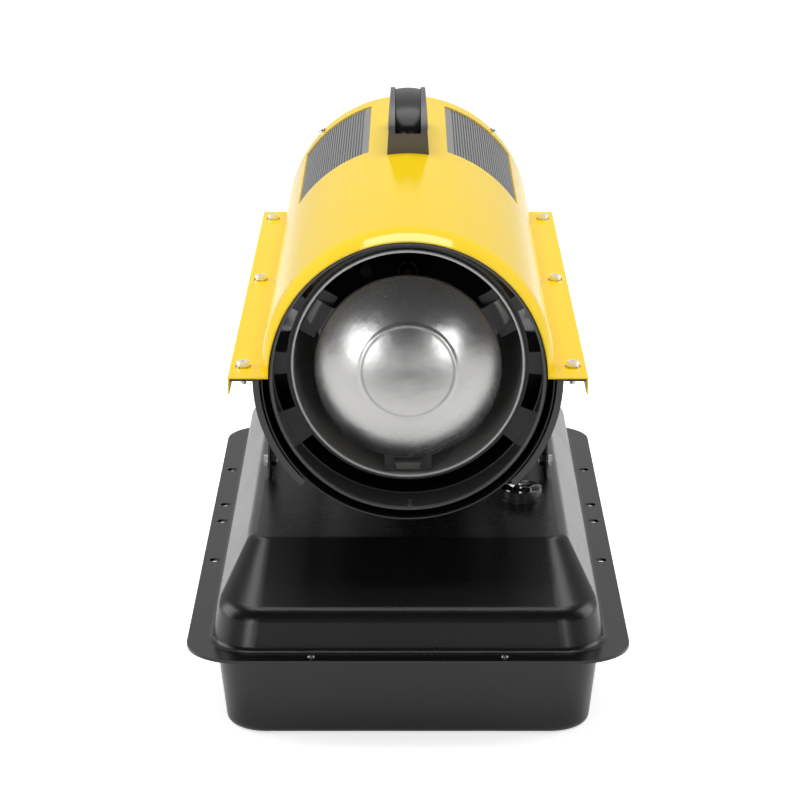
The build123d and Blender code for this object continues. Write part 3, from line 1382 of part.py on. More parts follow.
save(tube(CASE_REAR, CASE_REAR - CASE_FRONT, MOTOR_R, MOTOR_R - MOTOR_WALL), "motor_case")
save(
    turned(
        (STATOR_FRONT, ROTOR_R + AIR_GAP),
        (STATOR_FRONT, WINDING_BORE_R),
        (STATOR_FRONT - WINDING, WINDING_BORE_R),
        (STATOR_FRONT - WINDING, WINDING_R),
        (STATOR_FRONT, WINDING_R),
        (STATOR_FRONT, STATOR_R),
        (STATOR_REAR, STATOR_R),
        (STATOR_REAR, WINDING_R),
        (STATOR_REAR + WINDING, WINDING_R),
        (STATOR_REAR + WINDING, WINDING_BORE_R),
        (STATOR_REAR, WINDING_BORE_R),
        (STATOR_REAR, ROTOR_R + AIR_GAP),
    ),
    "motor_stator",
)

with BuildPart() as motor_bells:
    for inner_face, outer_face in ((CASE_FRONT, MOTOR_FRONT), (CASE_REAR, MOTOR_REAR)):
        way = 1 if outer_face > inner_face else -1
        lip = outer_face - way * BELL_LIP
        add(
            turned(
                (inner_face, BEARING_R + SEAT),
                (inner_face, MOTOR_R),
                (outer_face, MOTOR_R),
                (outer_face, SHAFT_R + BELL_SHAFT_GAP),
                (lip, SHAFT_R + BELL_SHAFT_GAP),
                (lip, BEARING_R + SEAT),
            )
        )
    with BuildSketch(across(CASE_FRONT)):
        with PolarLocations(BELL_HOLE_CIRCLE, BELL_HOLES):
            Circle(BELL_HOLE_R)
    extrude(amount=BELL_LENGTH, mode=Mode.SUBTRACT)
save(motor_bells.part, "motor_bells")

with BuildPart() as motor_bearings:
    for front_face in (CASE_FRONT - BEARING_LENGTH, CASE_REAR):
        add(tube(front_face + BEARING_LENGTH, BEARING_LENGTH, BEARING_R, SHAFT_R + RUNNING))
save(motor_bearings.part, "motor_bearings")

SHAFT_FRONT = 122.0
SHAFT_REAR = COVER_FRONT - 0.5
with BuildPart() as motor_rotor:
    with BuildSketch(across(SHAFT_REAR)):
        Circle(SHAFT_R)
    extrude(amount=SHAFT_REAR - SHAFT_FRONT)
    with BuildSketch(across(STATOR_REAR - 1.0)):
        Circle(ROTOR_R)
    extrude(amount=STATOR_REAR - STATOR_FRONT - 2.0)
    chamfer(motor_rotor.faces().sort_by(Axis.Y)[0].edges(), 0.6)
save(motor_rotor.part, "motor_rotor")

MOUNT_SHEET = 2.0
MOUNT_HALF = 33.0
MOUNT_BAND = 2.0
MOUNT_BAND_WIDTH = 12.0
MOUNT_PLACES = (176.0, 226.0)
with BuildPart() as motor_mount:
    for y in MOUNT_PLACES:
        with BuildSketch(across(y + MOUNT_BAND_WIDTH / 2)):
            Circle(MOTOR_R + SLIP + MOUNT_BAND)
            Circle(MOTOR_R + SLIP, mode=Mode.SUBTRACT)
        extrude(amount=MOUNT_BAND_WIDTH)
        with BuildSketch(across(y + MOUNT_SHEET / 2)):
            with Locations((0, -SHELL_R / 2)):
                Rectangle(2 * MOUNT_HALF, SHELL_R)
            Circle(SHELL_INNER_R - SLIP, mode=Mode.INTERSECT)
            Circle(MOTOR_R + SLIP, mode=Mode.SUBTRACT)
        extrude(amount=MOUNT_SHEET)
save(motor_mount.part, "motor_mount")

# ---------------------------------------------------------------- fan

with BuildPart(across(FAN_Y)) as fan:
    Cylinder(FAN_HUB_R, FAN_HUB_LENGTH)
    with PolarLocations((FAN_HUB_R + FAN_R) / 2, FAN_BLADES):
        Box(FAN_R - FAN_HUB_R + 2 * PAST, FAN_CHORD, BLADE_SHEET, rotation=(FAN_PITCH, 0, 0))
    Cylinder(FAN_R, 2 * FAN_CHORD, mode=Mode.INTERSECT)
    Cylinder(SHAFT_R + SEAT, 2 * FAN_CHORD, mode=Mode.SUBTRACT)
save(fan.part, "fan")

# ---------------------------------------------------------------- pump

ROTOR_CLEAR = 0.1
PUMP_ROTOR_R = 19.0
VANES = 4
VANE_PLAY = 0.2
VANE_FOOT_R = 9.0
VANE_TIP_R = PUMP_BORE_R - PUMP_OFFSET - VANE_PLAY
with BuildPart() as pump_body:
    with BuildSketch(across(COVER_FRONT)):
        Circle(PUMP_R)
        with Locations((0, PUMP_OFFSET)):
            Circle(PUMP_BORE_R, mode=Mode.SUBTRACT)
    extrude(amount=PUMP_LENGTH)
save(pump_body.part, "pump_body")

with BuildPart() as pump_rotor:
    rotor_length = PUMP_LENGTH - 2 * ROTOR_CLEAR
    vane_middle = (VANE_FOOT_R + VANE_TIP_R) / 2
    with BuildSketch(across(COVER_FRONT - ROTOR_CLEAR)):
        Circle(PUMP_ROTOR_R)
        Circle(SHAFT_R + SEAT, mode=Mode.SUBTRACT)
        with PolarLocations(vane_middle, VANES):
            Rectangle(VANE_TIP_R - VANE_FOOT_R + 1.0, VANE_SHEET + VANE_PLAY, mode=Mode.SUBTRACT)
    extrude(amount=rotor_length)
    with BuildSketch(across(COVER_FRONT - ROTOR_CLEAR)):
        with PolarLocations(vane_middle, VANES):
            Rectangle(VANE_TIP_R - VANE_FOOT_R, VANE_SHEET)
    extrude(amount=rotor_length)
save(pump_rotor.part, "pump_rotor")

COVER_REAR = COVER_FRONT + PUMP_COVER_LENGTH
COVER_WALL = 3.0
CHAMBER_FLOOR = COVER_FRONT + COVER_WALL
CHAMBER_DEPTH = PUMP_COVER_LENGTH - COVER_WALL
AIR_BARB_TOP = BARREL_Z - math.sqrt(PUMP_R**2 - HOSE_X**2)
BOSS_R = 4.5
BOSS_HALF = 2.0
PUMP_SCREW_CIRCLE = 26.0
PUMP_SCREWS = 4
PUMP_SCREW_LENGTH = 12.0
with BuildPart() as pump_cover:
    with BuildSketch(across(COVER_REAR)):
        Circle(PUMP_R)
    extrude(amount=PUMP_COVER_LENGTH)
    with BuildSketch(across(COVER_REAR)):
        Circle(PUMP_R - COVER_WALL)
    extrude(amount=CHAMBER_DEPTH, mode=Mode.SUBTRACT)
    with BuildSketch(across(COVER_REAR)):
        with PolarLocations(PUMP_SCREW_CIRCLE, PUMP_SCREWS, start_angle=45):
            Circle(BOSS_R)
    extrude(amount=CHAMBER_DEPTH)
    with BuildSketch(across(COVER_REAR)):
        with PolarLocations(PUMP_SCREW_CIRCLE, PUMP_SCREWS, start_angle=45):
            Circle(SCREW_R + SEAT)
    extrude(amount=PUMP_SCREW_LENGTH, mode=Mode.SUBTRACT)
    with BuildSketch(level(AIR_BARB_TOP - BOSS_HALF, HOSE_X, AIR_BARB_Y)):
        Circle(BOSS_R)
    extrude(amount=2 * BOSS_HALF)
    with BuildSketch(level(AIR_BARB_TOP - BOSS_HALF - BARB_LENGTH, HOSE_X, AIR_BARB_Y)):
        Circle(BARB_R)
    extrude(amount=BARB_LENGTH)
save(pump_cover.part, "pump_cover")

FILTER_R = 20.0
FELT = 5.0
with BuildPart() as pump_filters:
    for front_face in (CHAMBER_FLOOR, COVER_REAR - FELT):
        with BuildSketch(across(front_face + FELT)):
            Circle(FILTER_R)
        extrude(amount=FELT)
save(pump_filters.part, "pump_filters")

TEST_PORT_R = 6.0
TEST_PORT = 5.0
PORT_SLOT = (8.0, 1.2)
ADJUSTER_R = 4.0
ADJUSTER_DROP = 17.0
with BuildPart() as filter_cover:
    with BuildSketch(across(COVER_REAR + COVER_WALL)):
        Circle(PUMP_R)
        with PolarLocations(PUMP_SCREW_CIRCLE, PUMP_SCREWS, start_angle=45):
            Circle(SCREW_HOLE_R, mode=Mode.SUBTRACT)
    extrude(amount=COVER_WALL)
    with BuildSketch(across(COVER_REAR + COVER_WALL + TEST_PORT)):
        Circle(TEST_PORT_R)
        Rectangle(*PORT_SLOT, mode=Mode.SUBTRACT)
    extrude(amount=TEST_PORT)
    with BuildSketch(across(COVER_REAR + COVER_WALL + ADJUSTER_R, 0.0, BARREL_Z - ADJUSTER_DROP)):
        RegularPolygon(ADJUSTER_R, 6, major_radius=False)
    extrude(amount=ADJUSTER_R)
save(filter_cover.part, "filter_cover")

GUARD_SHEET = 2.0
GUARD_INSET = 2.0
GUARD_REAR = BARREL_REAR - GUARD_INSET
GUARD_BORDER = 4.0
GUARD_SPOKES = 12
GUARD_R = SHELL_INNER_R - SLIP
GUARD_RIM = 14.0
GUARD_RINGS = (42.0, 54.0, 66.0, 78.0, 90.0)
GUARD_WIRE = 3.0
with BuildPart() as fan_guard:
    with BuildSketch(across(GUARD_REAR)):
        Circle(GUARD_R)
        Circle(GUARD_R - GUARD_BORDER, mode=Mode.SUBTRACT)
        for radius in GUARD_RINGS:
            with BuildSketch(mode=Mode.PRIVATE) as one_ring:
                Circle(radius)
                Circle(radius - GUARD_WIRE, mode=Mode.SUBTRACT)
            add(one_ring.sketch)
        with PolarLocations((GUARD_RINGS[0] + GUARD_R - GUARD_BORDER) / 2, GUARD_SPOKES):
            Rectangle(GUARD_R - GUARD_RINGS[0], GUARD_WIRE)
    extrude(amount=GUARD_SHEET)
    with BuildSketch(across(GUARD_REAR)):
        Circle(GUARD_R)
        Circle(GUARD_R - GUARD_SHEET, mode=Mode.SUBTRACT)
    extrude(amount=GUARD_RIM)
    with Locations(*guard_screw_locations(GUARD_R)):
        Cylinder(SCREW_R + SEAT, 2 * PAST, mode=Mode.SUBTRACT)
save(fan_guard.part, "fan_guard")

# ---------------------------------------------------------------- control box

BOX_SADDLE_GAP = 1.5
BOX_CORNER_R = 4.0
BOX_SADDLE_R = SUPPORT_R + BOX_SADDLE_GAP
PANEL_REAR = BOX_REAR + PANEL_SHEET
BOARD_SHEET = 1.6
STANDOFF = 4.0
BOARD_Z = PLATEAU_Z + BOX_WALL + STANDOFF
STANDOFF_R = 3.0
BOARD_MARGIN = 10.0
BOARD_FRONT = BOX_FRONT + 8.0
BOARD_REAR = BOX_REAR - 6.0
BOARD_LEFT = BOX_LEFT + BOARD_MARGIN
BOARD_RIGHT = BOX_RIGHT - BOARD_MARGIN
STANDOFF_X = (BOARD_LEFT + 4.0, BOARD_RIGHT - 4.0)
STANDOFF_Y = (BOARD_FRONT + 5.0, BOARD_REAR - 22.0)
SCREW_INSET = 5.5
PANEL_SCREWS = (
    (BOX_RIGHT - SCREW_INSET, SCREW_INSET),
    (BOX_RIGHT - SCREW_INSET, BOX_HEIGHT - SCREW_INSET),
    (BOX_LEFT + SCREW_INSET, SCREW_INSET),
)
POST_R = 3.6
PANEL_SCREW_LENGTH = 12.0


def box_section(inset):
    """The box's outline across the barrel, hollowed on top to clear the lower shell."""
    with BuildSketch() as outline:
        width = BOX_RIGHT - BOX_LEFT - 2 * inset
        height = BOX_HEIGHT - 2 * inset
        with Locations(((BOX_LEFT + BOX_RIGHT) / 2, PLATEAU_Z + BOX_HEIGHT / 2)):
            RectangleRounded(width, height, BOX_CORNER_R - inset)
        with Locations((0, BARREL_Z)):
            Circle(BOX_SADDLE_R + inset, mode=Mode.SUBTRACT)
    return outline.sketch


def panel_screw_places():
    """The three panel screws in the box's own plane, as x and z."""
    return [(x, PLATEAU_Z + rise) for x, rise in PANEL_SCREWS]


with BuildPart() as control_box:
    with BuildSketch(across(BOX_REAR, z=0.0)):
        add(box_section(0.0))
    extrude(amount=BOX_REAR - BOX_FRONT)
    with BuildSketch(across(BOX_REAR, z=0.0)):
        add(box_section(BOX_WALL))
    extrude(amount=BOX_REAR - BOX_FRONT - BOX_WALL, mode=Mode.SUBTRACT)
    with BuildSketch(across(BOX_REAR, z=0.0)):
        with Locations(*panel_screw_places()):
            Circle(POST_R)
        add(box_section(BOX_WALL / 2), mode=Mode.INTERSECT)
        with Locations(*panel_screw_places()):
            Circle(SCREW_R + SEAT, mode=Mode.SUBTRACT)
    extrude(amount=PANEL_SCREW_LENGTH)
    with BuildSketch(level(PLATEAU_Z + BOX_WALL)):
        for x in STANDOFF_X:
            for y in STANDOFF_Y:
                with Locations((x, y)):
                    Circle(STANDOFF_R)
    extrude(amount=STANDOFF)
    with BuildSketch(across(BOX_FRONT + BOX_WALL, z=0.0)):
        with Locations((IGNITION_X, UNDER_Z), (PHOTO_X, UNDER_Z)):
            Circle(LEAD_R + SLIP)
    extrude(amount=BOX_WALL, mode=Mode.SUBTRACT)
    with BuildSketch(level(PLATEAU_Z + MOTOR_LEAD_RISE - PAST, MOTOR_LEAD_X, MOTOR_LEAD_Y)):
        Circle(LEAD_R + SLIP)
    extrude(amount=MOTOR_LEAD_RISE, mode=Mode.SUBTRACT)
save(control_box.part, "control_box")

SWITCH_Z = PLATEAU_Z + SWITCH_RISE
SWITCH_Y = BOX_REAR + PANEL_SHEET / 2
SWITCH_PIN_R = 1.1
SWITCH_PIN = 1.6
BEZEL = 2.3
BEZEL_RISE = 1.6
KNOB_Z = PLATEAU_Z + KNOB_RISE
KNOB_SHAFT_R = 3.0
GLAND_GRIP = 0.1
BEZEL_ROOT = 0.5
DISPLAY_Z = PLATEAU_Z + DISPLAY_RISE
GLAND_Z = PLATEAU_Z + GLAND_RISE
with BuildPart() as control_panel:
    with BuildSketch(across(PANEL_REAR, z=0.0)):
        add(box_section(0.0))
    extrude(amount=PANEL_SHEET)
    with BuildSketch(across(PANEL_REAR + BEZEL_RISE, KNOB_X, SWITCH_Z)):
        RectangleRounded(SWITCH_WIDTH + 2 * BEZEL, 2 * SWITCH_R + 2 * BEZEL, 2.0)
    extrude(amount=BEZEL_RISE + BEZEL_ROOT)
    with BuildSketch(across(PANEL_REAR + BEZEL_RISE, KNOB_X, SWITCH_Z)):
        Rectangle(SWITCH_WIDTH + 2 * SLIP, 2 * SWITCH_R + 2 * SLIP)
    extrude(amount=PANEL_SHEET + BEZEL_RISE, mode=Mode.SUBTRACT)
    with Locations(Location((KNOB_X, SWITCH_Y, SWITCH_Z), (0, 90, 0))):
        Cylinder(SWITCH_PIN_R + RUNNING, SWITCH_WIDTH + 2 * SLIP + 2 * SWITCH_PIN, mode=Mode.SUBTRACT)
    with BuildSketch(across(PANEL_REAR, z=0.0)):
        with Locations((KNOB_X, KNOB_Z)):
            Circle(KNOB_SHAFT_R + RUNNING)
        with Locations((GLAND_X, GLAND_Z)):
            Circle(GLAND_R + GLAND_GRIP)
        with Locations((DISPLAY_X, DISPLAY_Z)):
            Rectangle(DISPLAY_WIDTH, DISPLAY_HEIGHT)
        with Locations(*panel_screw_places()):
            Circle(SCREW_HOLE_R)
    extrude(amount=PANEL_SHEET, mode=Mode.SUBTRACT)
save(control_panel.part, "control_panel")

WINDOW_SHEET = 1.5
with BuildPart() as display_window:
    with BuildSketch(across(PANEL_REAR, DISPLAY_X, DISPLAY_Z)):
        Rectangle(DISPLAY_WIDTH - 2 * SEAT, DISPLAY_HEIGHT - 2 * SEAT)
    extrude(amount=WINDOW_SHEET)
save(display_window.part, "display_window")

POT_SIZE = 14.0
POT_BASE = (9.8, 8.0)
POT_INSET = 5.0
SOLDER_DEPTH = 0.2
DISPLAY_BODY = 6.0
CAPACITORS = ((39.0, 152.0), (50.0, 172.0), (38.0, 178.0))
CAPACITOR = (9.0, 14.0, 8.0)
with BuildPart() as circuit_board:
    with BuildSketch(level(BOARD_Z)):
        with Locations(((BOARD_LEFT + BOARD_RIGHT) / 2, (BOARD_FRONT + BOARD_REAR) / 2)):
            Rectangle(BOARD_RIGHT - BOARD_LEFT, BOARD_REAR - BOARD_FRONT)
    extrude(amount=BOARD_SHEET)
    board_top = BOARD_Z + BOARD_SHEET
    with BuildSketch(level(board_top - SOLDER_DEPTH, KNOB_X, BOARD_REAR - POT_INSET)):
        Rectangle(*POT_BASE)
    extrude(amount=KNOB_Z + POT_SIZE / 2 - board_top)
    with BuildSketch(across(BOARD_REAR - 1.0, KNOB_X, KNOB_Z)):
        Circle(KNOB_SHAFT_R + RUNNING)
    extrude(amount=POT_BASE[1], mode=Mode.SUBTRACT)
    with BuildSketch(level(board_top - SOLDER_DEPTH, DISPLAY_X, BOARD_REAR - DISPLAY_BODY / 2)):
        Rectangle(DISPLAY_WIDTH - 1.0, DISPLAY_BODY)
    extrude(amount=DISPLAY_Z + DISPLAY_HEIGHT / 2 - board_top)
    for x, y in CAPACITORS:
        with BuildSketch(level(board_top - SOLDER_DEPTH, x, y)):
            Rectangle(*CAPACITOR[:2])
        extrude(amount=CAPACITOR[2])
save(circuit_board.part, "circuit_board")

TRANSFORMER_X, TRANSFORMER_Y = 72.0, 160.0
TRANSFORMER = (28.0, 40.0, 24.0)
with BuildPart() as ignition_transformer:
    with BuildSketch(level(BOARD_Z + BOARD_SHEET + SEAT, TRANSFORMER_X, TRANSFORMER_Y)):
        RectangleRounded(*TRANSFORMER[:2], 2.0)
    extrude(amount=TRANSFORMER[2])
save(ignition_transformer.part, "ignition_transformer")

SWITCH_TILT = 8.0
SWITCH_VALLEY = 3.4
SWITCH_CREST = 5.4
with BuildPart() as power_switch:
    tilt = math.radians(SWITCH_TILT)
    rocker_plane = Plane(
        origin=(KNOB_X, SWITCH_Y, SWITCH_Z), x_dir=(0, math.cos(tilt), math.sin(tilt)), z_dir=(1, 0, 0)
    )
    with BuildSketch(rocker_plane):
        Circle(SWITCH_R)
        with BuildLine():
            Polyline(
                (SWITCH_VALLEY, 0),
                (SWITCH_CREST, SWITCH_R),
                (2 * SWITCH_R, SWITCH_R),
                (2 * SWITCH_R, -SWITCH_R),
                (SWITCH_CREST, -SWITCH_R),
                close=True,
            )
        make_face(mode=Mode.SUBTRACT)
    extrude(amount=SWITCH_WIDTH / 2, both=True)
    with BuildSketch(rocker_plane):
        Circle(SWITCH_PIN_R)
    extrude(amount=SWITCH_WIDTH / 2 + SLIP + SWITCH_PIN - 0.3, both=True)
save(power_switch.part, "power_switch")

KNOB_DEPTH = 12.0
KNOB_FLUTES = 12
KNOB_FLUTE_R = 1.8
KNOB_MARK = (1.4, 5.0)
KNOB_FRONT = PANEL_REAR + SLIP
with BuildPart() as thermostat_knob:
    with BuildSketch(across(KNOB_FRONT + KNOB_DEPTH, KNOB_X, KNOB_Z)):
        Circle(KNOB_R)
    extrude(amount=KNOB_DEPTH)
    chamfer(thermostat_knob.faces().sort_by(Axis.Y)[-1].edges(), 1.0)
    with BuildSketch(across(KNOB_FRONT + KNOB_DEPTH, KNOB_X, KNOB_Z)):
        with PolarLocations(KNOB_R + 1.0, KNOB_FLUTES, start_angle=15):
            Circle(KNOB_FLUTE_R)
    extrude(amount=KNOB_DEPTH, mode=Mode.SUBTRACT)
    with BuildSketch(across(KNOB_FRONT + KNOB_DEPTH, KNOB_X, KNOB_Z)):
        with Locations((0, KNOB_R - 4.5)):
            Rectangle(*KNOB_MARK)
    extrude(amount=0.8, mode=Mode.SUBTRACT)
    with BuildSketch(across(KNOB_FRONT + 1.0, KNOB_X, KNOB_Z)):
        Circle(KNOB_SHAFT_R)
    extrude(amount=KNOB_FRONT + 1.0 - BOARD_REAR + 7.0)
save(thermostat_knob.part, "thermostat_knob")

GLAND_THREAD = 8.0
GLAND_HEX_R = 7.0
GLAND_HEX = 5.0
GLAND_TAIL_R = 6.8
GLAND_TAIL = 9.0
with BuildPart() as cable_gland:
    with BuildSketch(across(PANEL_REAR, GLAND_X, GLAND_Z)):
        Circle(GLAND_R)
    extrude(amount=GLAND_THREAD)
    with BuildSketch(across(PANEL_REAR + GLAND_HEX, GLAND_X, GLAND_Z)):
        RegularPolygon(GLAND_HEX_R, 6, major_radius=False)
    extrude(amount=GLAND_HEX)
    with BuildSketch(across(PANEL_REAR + GLAND_HEX, GLAND_X, GLAND_Z)):
        Circle(GLAND_TAIL_R)
    extrude(amount=-GLAND_TAIL, taper=10)
    with BuildSketch(across(PANEL_REAR + GLAND_HEX + GLAND_TAIL + PAST, GLAND_X, GLAND_Z)):
        Circle(CORD_BORE_R)
    extrude(amount=GLAND_HEX + GLAND_TAIL + GLAND_THREAD + 2 * PAST, mode=Mode.SUBTRACT)
save(cable_gland.part, "cable_gland")

# ---------------------------------------------------------------- fuel and air lines

PICKUP_PIPE_R = BARB_R
PICKUP_ELBOW_R = 6.0
PICKUP_BARB = 16.0
PICKUP_BARB_Y = PICKUP_Y - PICKUP_BARB
PICKUP_HEX_R = 7.5
PICKUP_HEX = 5.0
PICKUP_SHANK = 8.0
HOSE_LAP = 8.0
FUEL_FILTER_R = 9.0
FUEL_FILTER_Z = 6.0
FUEL_FILTER_HEIGHT = 16.0
pickup_route = (
    (PICKUP_X, PICKUP_Y, FUEL_FILTER_Z + 4.0),
    (PICKUP_X, PICKUP_Y, UNDER_Z),
    (PICKUP_X, PICKUP_BARB_Y, UNDER_Z),
)
pickup_pipe = swept_tube(pickup_route, (PICKUP_ELBOW_R,), PICKUP_PIPE_R)
with BuildPart() as fuel_pickup:
    add(pickup_pipe)
    with BuildSketch(level(PLATEAU_Z, PICKUP_X, PICKUP_Y)):
        RegularPolygon(PICKUP_HEX_R, 6, major_radius=False)
    extrude(amount=PICKUP_HEX)
    with BuildSketch(level(PLATEAU_Z - PICKUP_SHANK, PICKUP_X, PICKUP_Y)):
        Circle(PICKUP_R)
    extrude(amount=PICKUP_SHANK)
    with BuildSketch(level(FUEL_FILTER_Z, PICKUP_X, PICKUP_Y)):
        Circle(FUEL_FILTER_R)
        Circle(PICKUP_PIPE_R + RUNNING, mode=Mode.SUBTRACT)
    extrude(amount=FUEL_FILTER_HEIGHT)
save(fuel_pickup.part, "fuel_pickup")

hose_end_z = BARREL_Z - HOLDER_HALF_HEIGHT - SLIP
fuel_route = (
    (-HOSE_X, PICKUP_BARB_Y + HOSE_LAP, UNDER_Z),
    (-HOSE_X, HOSE_Y, UNDER_Z),
    (-HOSE_X, HOSE_Y, hose_end_z),
)
fuel_hose = swept_tube(fuel_route, (HOSE_BEND_R,), HOSE_R, HOSE_BORE_R)
air_route = (
    (HOSE_X, AIR_BARB_Y, AIR_BARB_TOP - BOSS_HALF - SLIP),
    (HOSE_X, AIR_BARB_Y, UNDER_Z),
    (HOSE_X, HOSE_Y, UNDER_Z),
    (HOSE_X, HOSE_Y, hose_end_z),
)
air_hose = swept_tube(air_route, (HOSE_BEND_R, HOSE_BEND_R), HOSE_R, HOSE_BORE_R)
with BuildPart() as hoses:
    add(fuel_hose)
    add(air_hose)
save(hoses.part, "hoses")

CLAMP_INSET = 34.5
CLAMP_PLACES = (128.0, PLATEAU_REAR - CLAMP_INSET)
CLAMP_LENGTH = 10.0
CLAMP_WALL = 2.0
CLAMP_WIDTH = 2 * HOSE_X + 11.0
CLAMP_TOP = UNDER_Z + HOSE_R + CLAMP_WALL
with BuildPart() as hose_clamps:
    for y in CLAMP_PLACES:
        with BuildSketch(across(y + CLAMP_LENGTH / 2, z=0.0)):
            with Locations((0, PLATEAU_Z)):
                Rectangle(CLAMP_WIDTH, CLAMP_TOP - PLATEAU_Z, align=(Align.CENTER, Align.MIN))
            with Locations((-HOSE_X, UNDER_Z), (HOSE_X, UNDER_Z)):
                Circle(HOSE_R + SEAT, mode=Mode.SUBTRACT)
        extrude(amount=CLAMP_LENGTH)
save(hose_clamps.part, "hose_clamps")

# ---------------------------------------------------------------- pan-head screws


PAN_CROSS = (3.6, 0.8)
PAN_CROSS_DEPTH = 1.0
GUARD_SCREW_LENGTH = 6.0
HEAD_LIFT = 0.05
BORE_LIFT = 0.1


def pan_screw(plane, length):
    """One pan-head screw whose head stands on the plane and shank goes behind it."""
    with BuildPart() as screw:
        with BuildSketch(plane):
            Circle(PAN_HEAD_R)
        extrude(amount=PAN_HEAD)
        fillet(screw.edges().group_by(Axis(plane.origin, plane.z_dir))[-1], 1.0)
        with BuildSketch(plane.offset(PAN_HEAD - PAN_CROSS_DEPTH)):
            Rectangle(*PAN_CROSS)
            Rectangle(*reversed(PAN_CROSS))
        extrude(amount=PAN_CROSS_DEPTH, mode=Mode.SUBTRACT)
        with BuildSketch(plane):
            Circle(SCREW_R)
        extrude(amount=-length)
    return screw.part


pan_screw_parts = []
for y in HANDLE_SCREW_Y:
    under_top = BARREL_Z + SHELL_INNER_R - BORE_LIFT
    pan_screw_parts.append(
        pan_screw(Plane(origin=(0, y, under_top), x_dir=(1, 0, 0), z_dir=(0, 0, -1)), HANDLE_SCREW_LENGTH)
    )
for angle in GUARD_SCREW_ANGLES:
    turn = math.radians(angle)
    radial = (math.cos(turn), 0, math.sin(turn))
    seat_r = SHELL_R + HEAD_LIFT
    place = (seat_r * radial[0], GUARD_Y, BARREL_Z + seat_r * radial[2])
    pan_screw_parts.append(pan_screw(Plane(origin=place, x_dir=(0, 1, 0), z_dir=radial), GUARD_SCREW_LENGTH))
for x, z in panel_screw_places():
    pan_screw_parts.append(
        pan_screw(Plane(origin=(x, PANEL_REAR, z), x_dir=(1, 0, 0), z_dir=(0, 1, 0)), PANEL_SCREW_LENGTH)
    )
for corner in range(PUMP_SCREWS):
    turn = math.radians(45 + 90 * corner)
    place = (
        PUMP_SCREW_CIRCLE * math.cos(turn),
        COVER_REAR + COVER_WALL,
        BARREL_Z + PUMP_SCREW_CIRCLE * math.sin(turn),
    )
    across_rear = Plane(origin=place, x_dir=(1, 0, 0), z_dir=(0, 1, 0))
    pan_screw_parts.append(pan_screw(across_rear, PUMP_SCREW_LENGTH))
with BuildPart() as pan_screws:
    for one_screw in pan_screw_parts:
        add(one_screw)
save(pan_screws.part, "pan_screws")
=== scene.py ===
import math

import bpy
from mathutils import Matrix, Vector


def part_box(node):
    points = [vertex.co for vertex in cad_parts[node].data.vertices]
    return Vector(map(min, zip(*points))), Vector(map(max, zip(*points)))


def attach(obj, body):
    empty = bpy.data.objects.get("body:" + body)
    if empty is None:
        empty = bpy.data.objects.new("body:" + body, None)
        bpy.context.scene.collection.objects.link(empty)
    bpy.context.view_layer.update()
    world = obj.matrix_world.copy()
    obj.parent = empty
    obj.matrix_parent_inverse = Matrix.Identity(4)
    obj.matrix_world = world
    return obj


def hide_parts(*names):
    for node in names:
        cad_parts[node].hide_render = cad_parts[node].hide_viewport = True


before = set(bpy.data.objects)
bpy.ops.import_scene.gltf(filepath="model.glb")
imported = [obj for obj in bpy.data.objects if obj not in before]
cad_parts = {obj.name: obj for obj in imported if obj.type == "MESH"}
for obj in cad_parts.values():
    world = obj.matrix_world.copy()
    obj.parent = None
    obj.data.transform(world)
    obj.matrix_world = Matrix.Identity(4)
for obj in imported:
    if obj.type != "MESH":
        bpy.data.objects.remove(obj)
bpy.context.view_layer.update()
bpy.ops.object.select_all(action="DESELECT")

# The studio. A long lens looks down a little on the outlet, as a catalogue picture
# does. The camera stands on the heater's middle plane, and the small sideways shift
# keeps the heater right of the frame's centre.
CAMERA_PLACE = Vector((0.0, -2.303, 0.8191))
CAMERA_DIP = math.radians(15.64)
bpy.ops.object.camera_add(location=CAMERA_PLACE, rotation=(math.pi / 2 - CAMERA_DIP, 0, 0))
camera = bpy.context.object
camera.name = "studio_camera"
camera.data.lens = 135
camera.data.sensor_width = 36
camera.data.shift_x = -0.01
camera.data.clip_end = 50
bpy.context.scene.camera = camera
bpy.context.scene.view_settings.view_transform = "Standard"

# The room: white where the camera or glass looks straight at it, even where light is
# gathered, and in polished surfaces a bright wall behind and a dim room in front.
GATHERED_LIGHT = 0.29
WALL_BEHIND = 0.54
ROOM_IN_FRONT = 0.09
WALL_REACH = (-0.45, 0.5)
CEILING_SHARE = 0.45
CEILING_REACH = (0.3, 0.95)


def maths(tree, operation, *values):
    """A Math node fed by sockets or plain numbers; gives back its result."""
    node = tree.nodes.new("ShaderNodeMath")
    node.operation = operation
    for socket, value in zip(node.inputs, values):
        if isinstance(value, (int, float)):
            socket.default_value = value
        else:
            tree.links.new(value, socket)
    return node.outputs[0]


def eased(tree, value, low, high, at_low, at_high):
    """A smooth step from one level to another while a value goes from low to high."""
    step = tree.nodes.new("ShaderNodeMapRange")
    step.interpolation_type = "SMOOTHSTEP"
    for socket, number in zip(step.inputs[1:5], (low, high, at_low, at_high)):
        socket.default_value = number
    tree.links.new(value, step.inputs["Value"])
    return step.outputs["Result"]


def shader_mix(tree, share, first, second):
    """Two shaders mixed by a socket."""
    mix = tree.nodes.new("ShaderNodeMixShader")
    tree.links.new(share, mix.inputs["Fac"])
    tree.links.new(first, mix.inputs[1])
    tree.links.new(second, mix.inputs[2])
    return mix.outputs[0]


def background(tree, strength):
    """A white sky of one strength, or of a strength that a socket gives."""
    shade = tree.nodes.new("ShaderNodeBackground")
    shade.inputs["Color"].default_value = (1, 1, 1, 1)
    if isinstance(strength, float):
        shade.inputs["Strength"].default_value = strength
    else:
        tree.links.new(strength, shade.inputs["Strength"])
    return shade.outputs[0]


def sight(tree):
    """Whether a ray looks straight or through glass, and whether it is mirrored."""
    path = tree.nodes.new("ShaderNodeLightPath").outputs
    straight = maths(tree, "MAXIMUM", path["Is Camera Ray"], path["Is Transmission Ray"])
    return straight, path["Is Glossy Ray"]


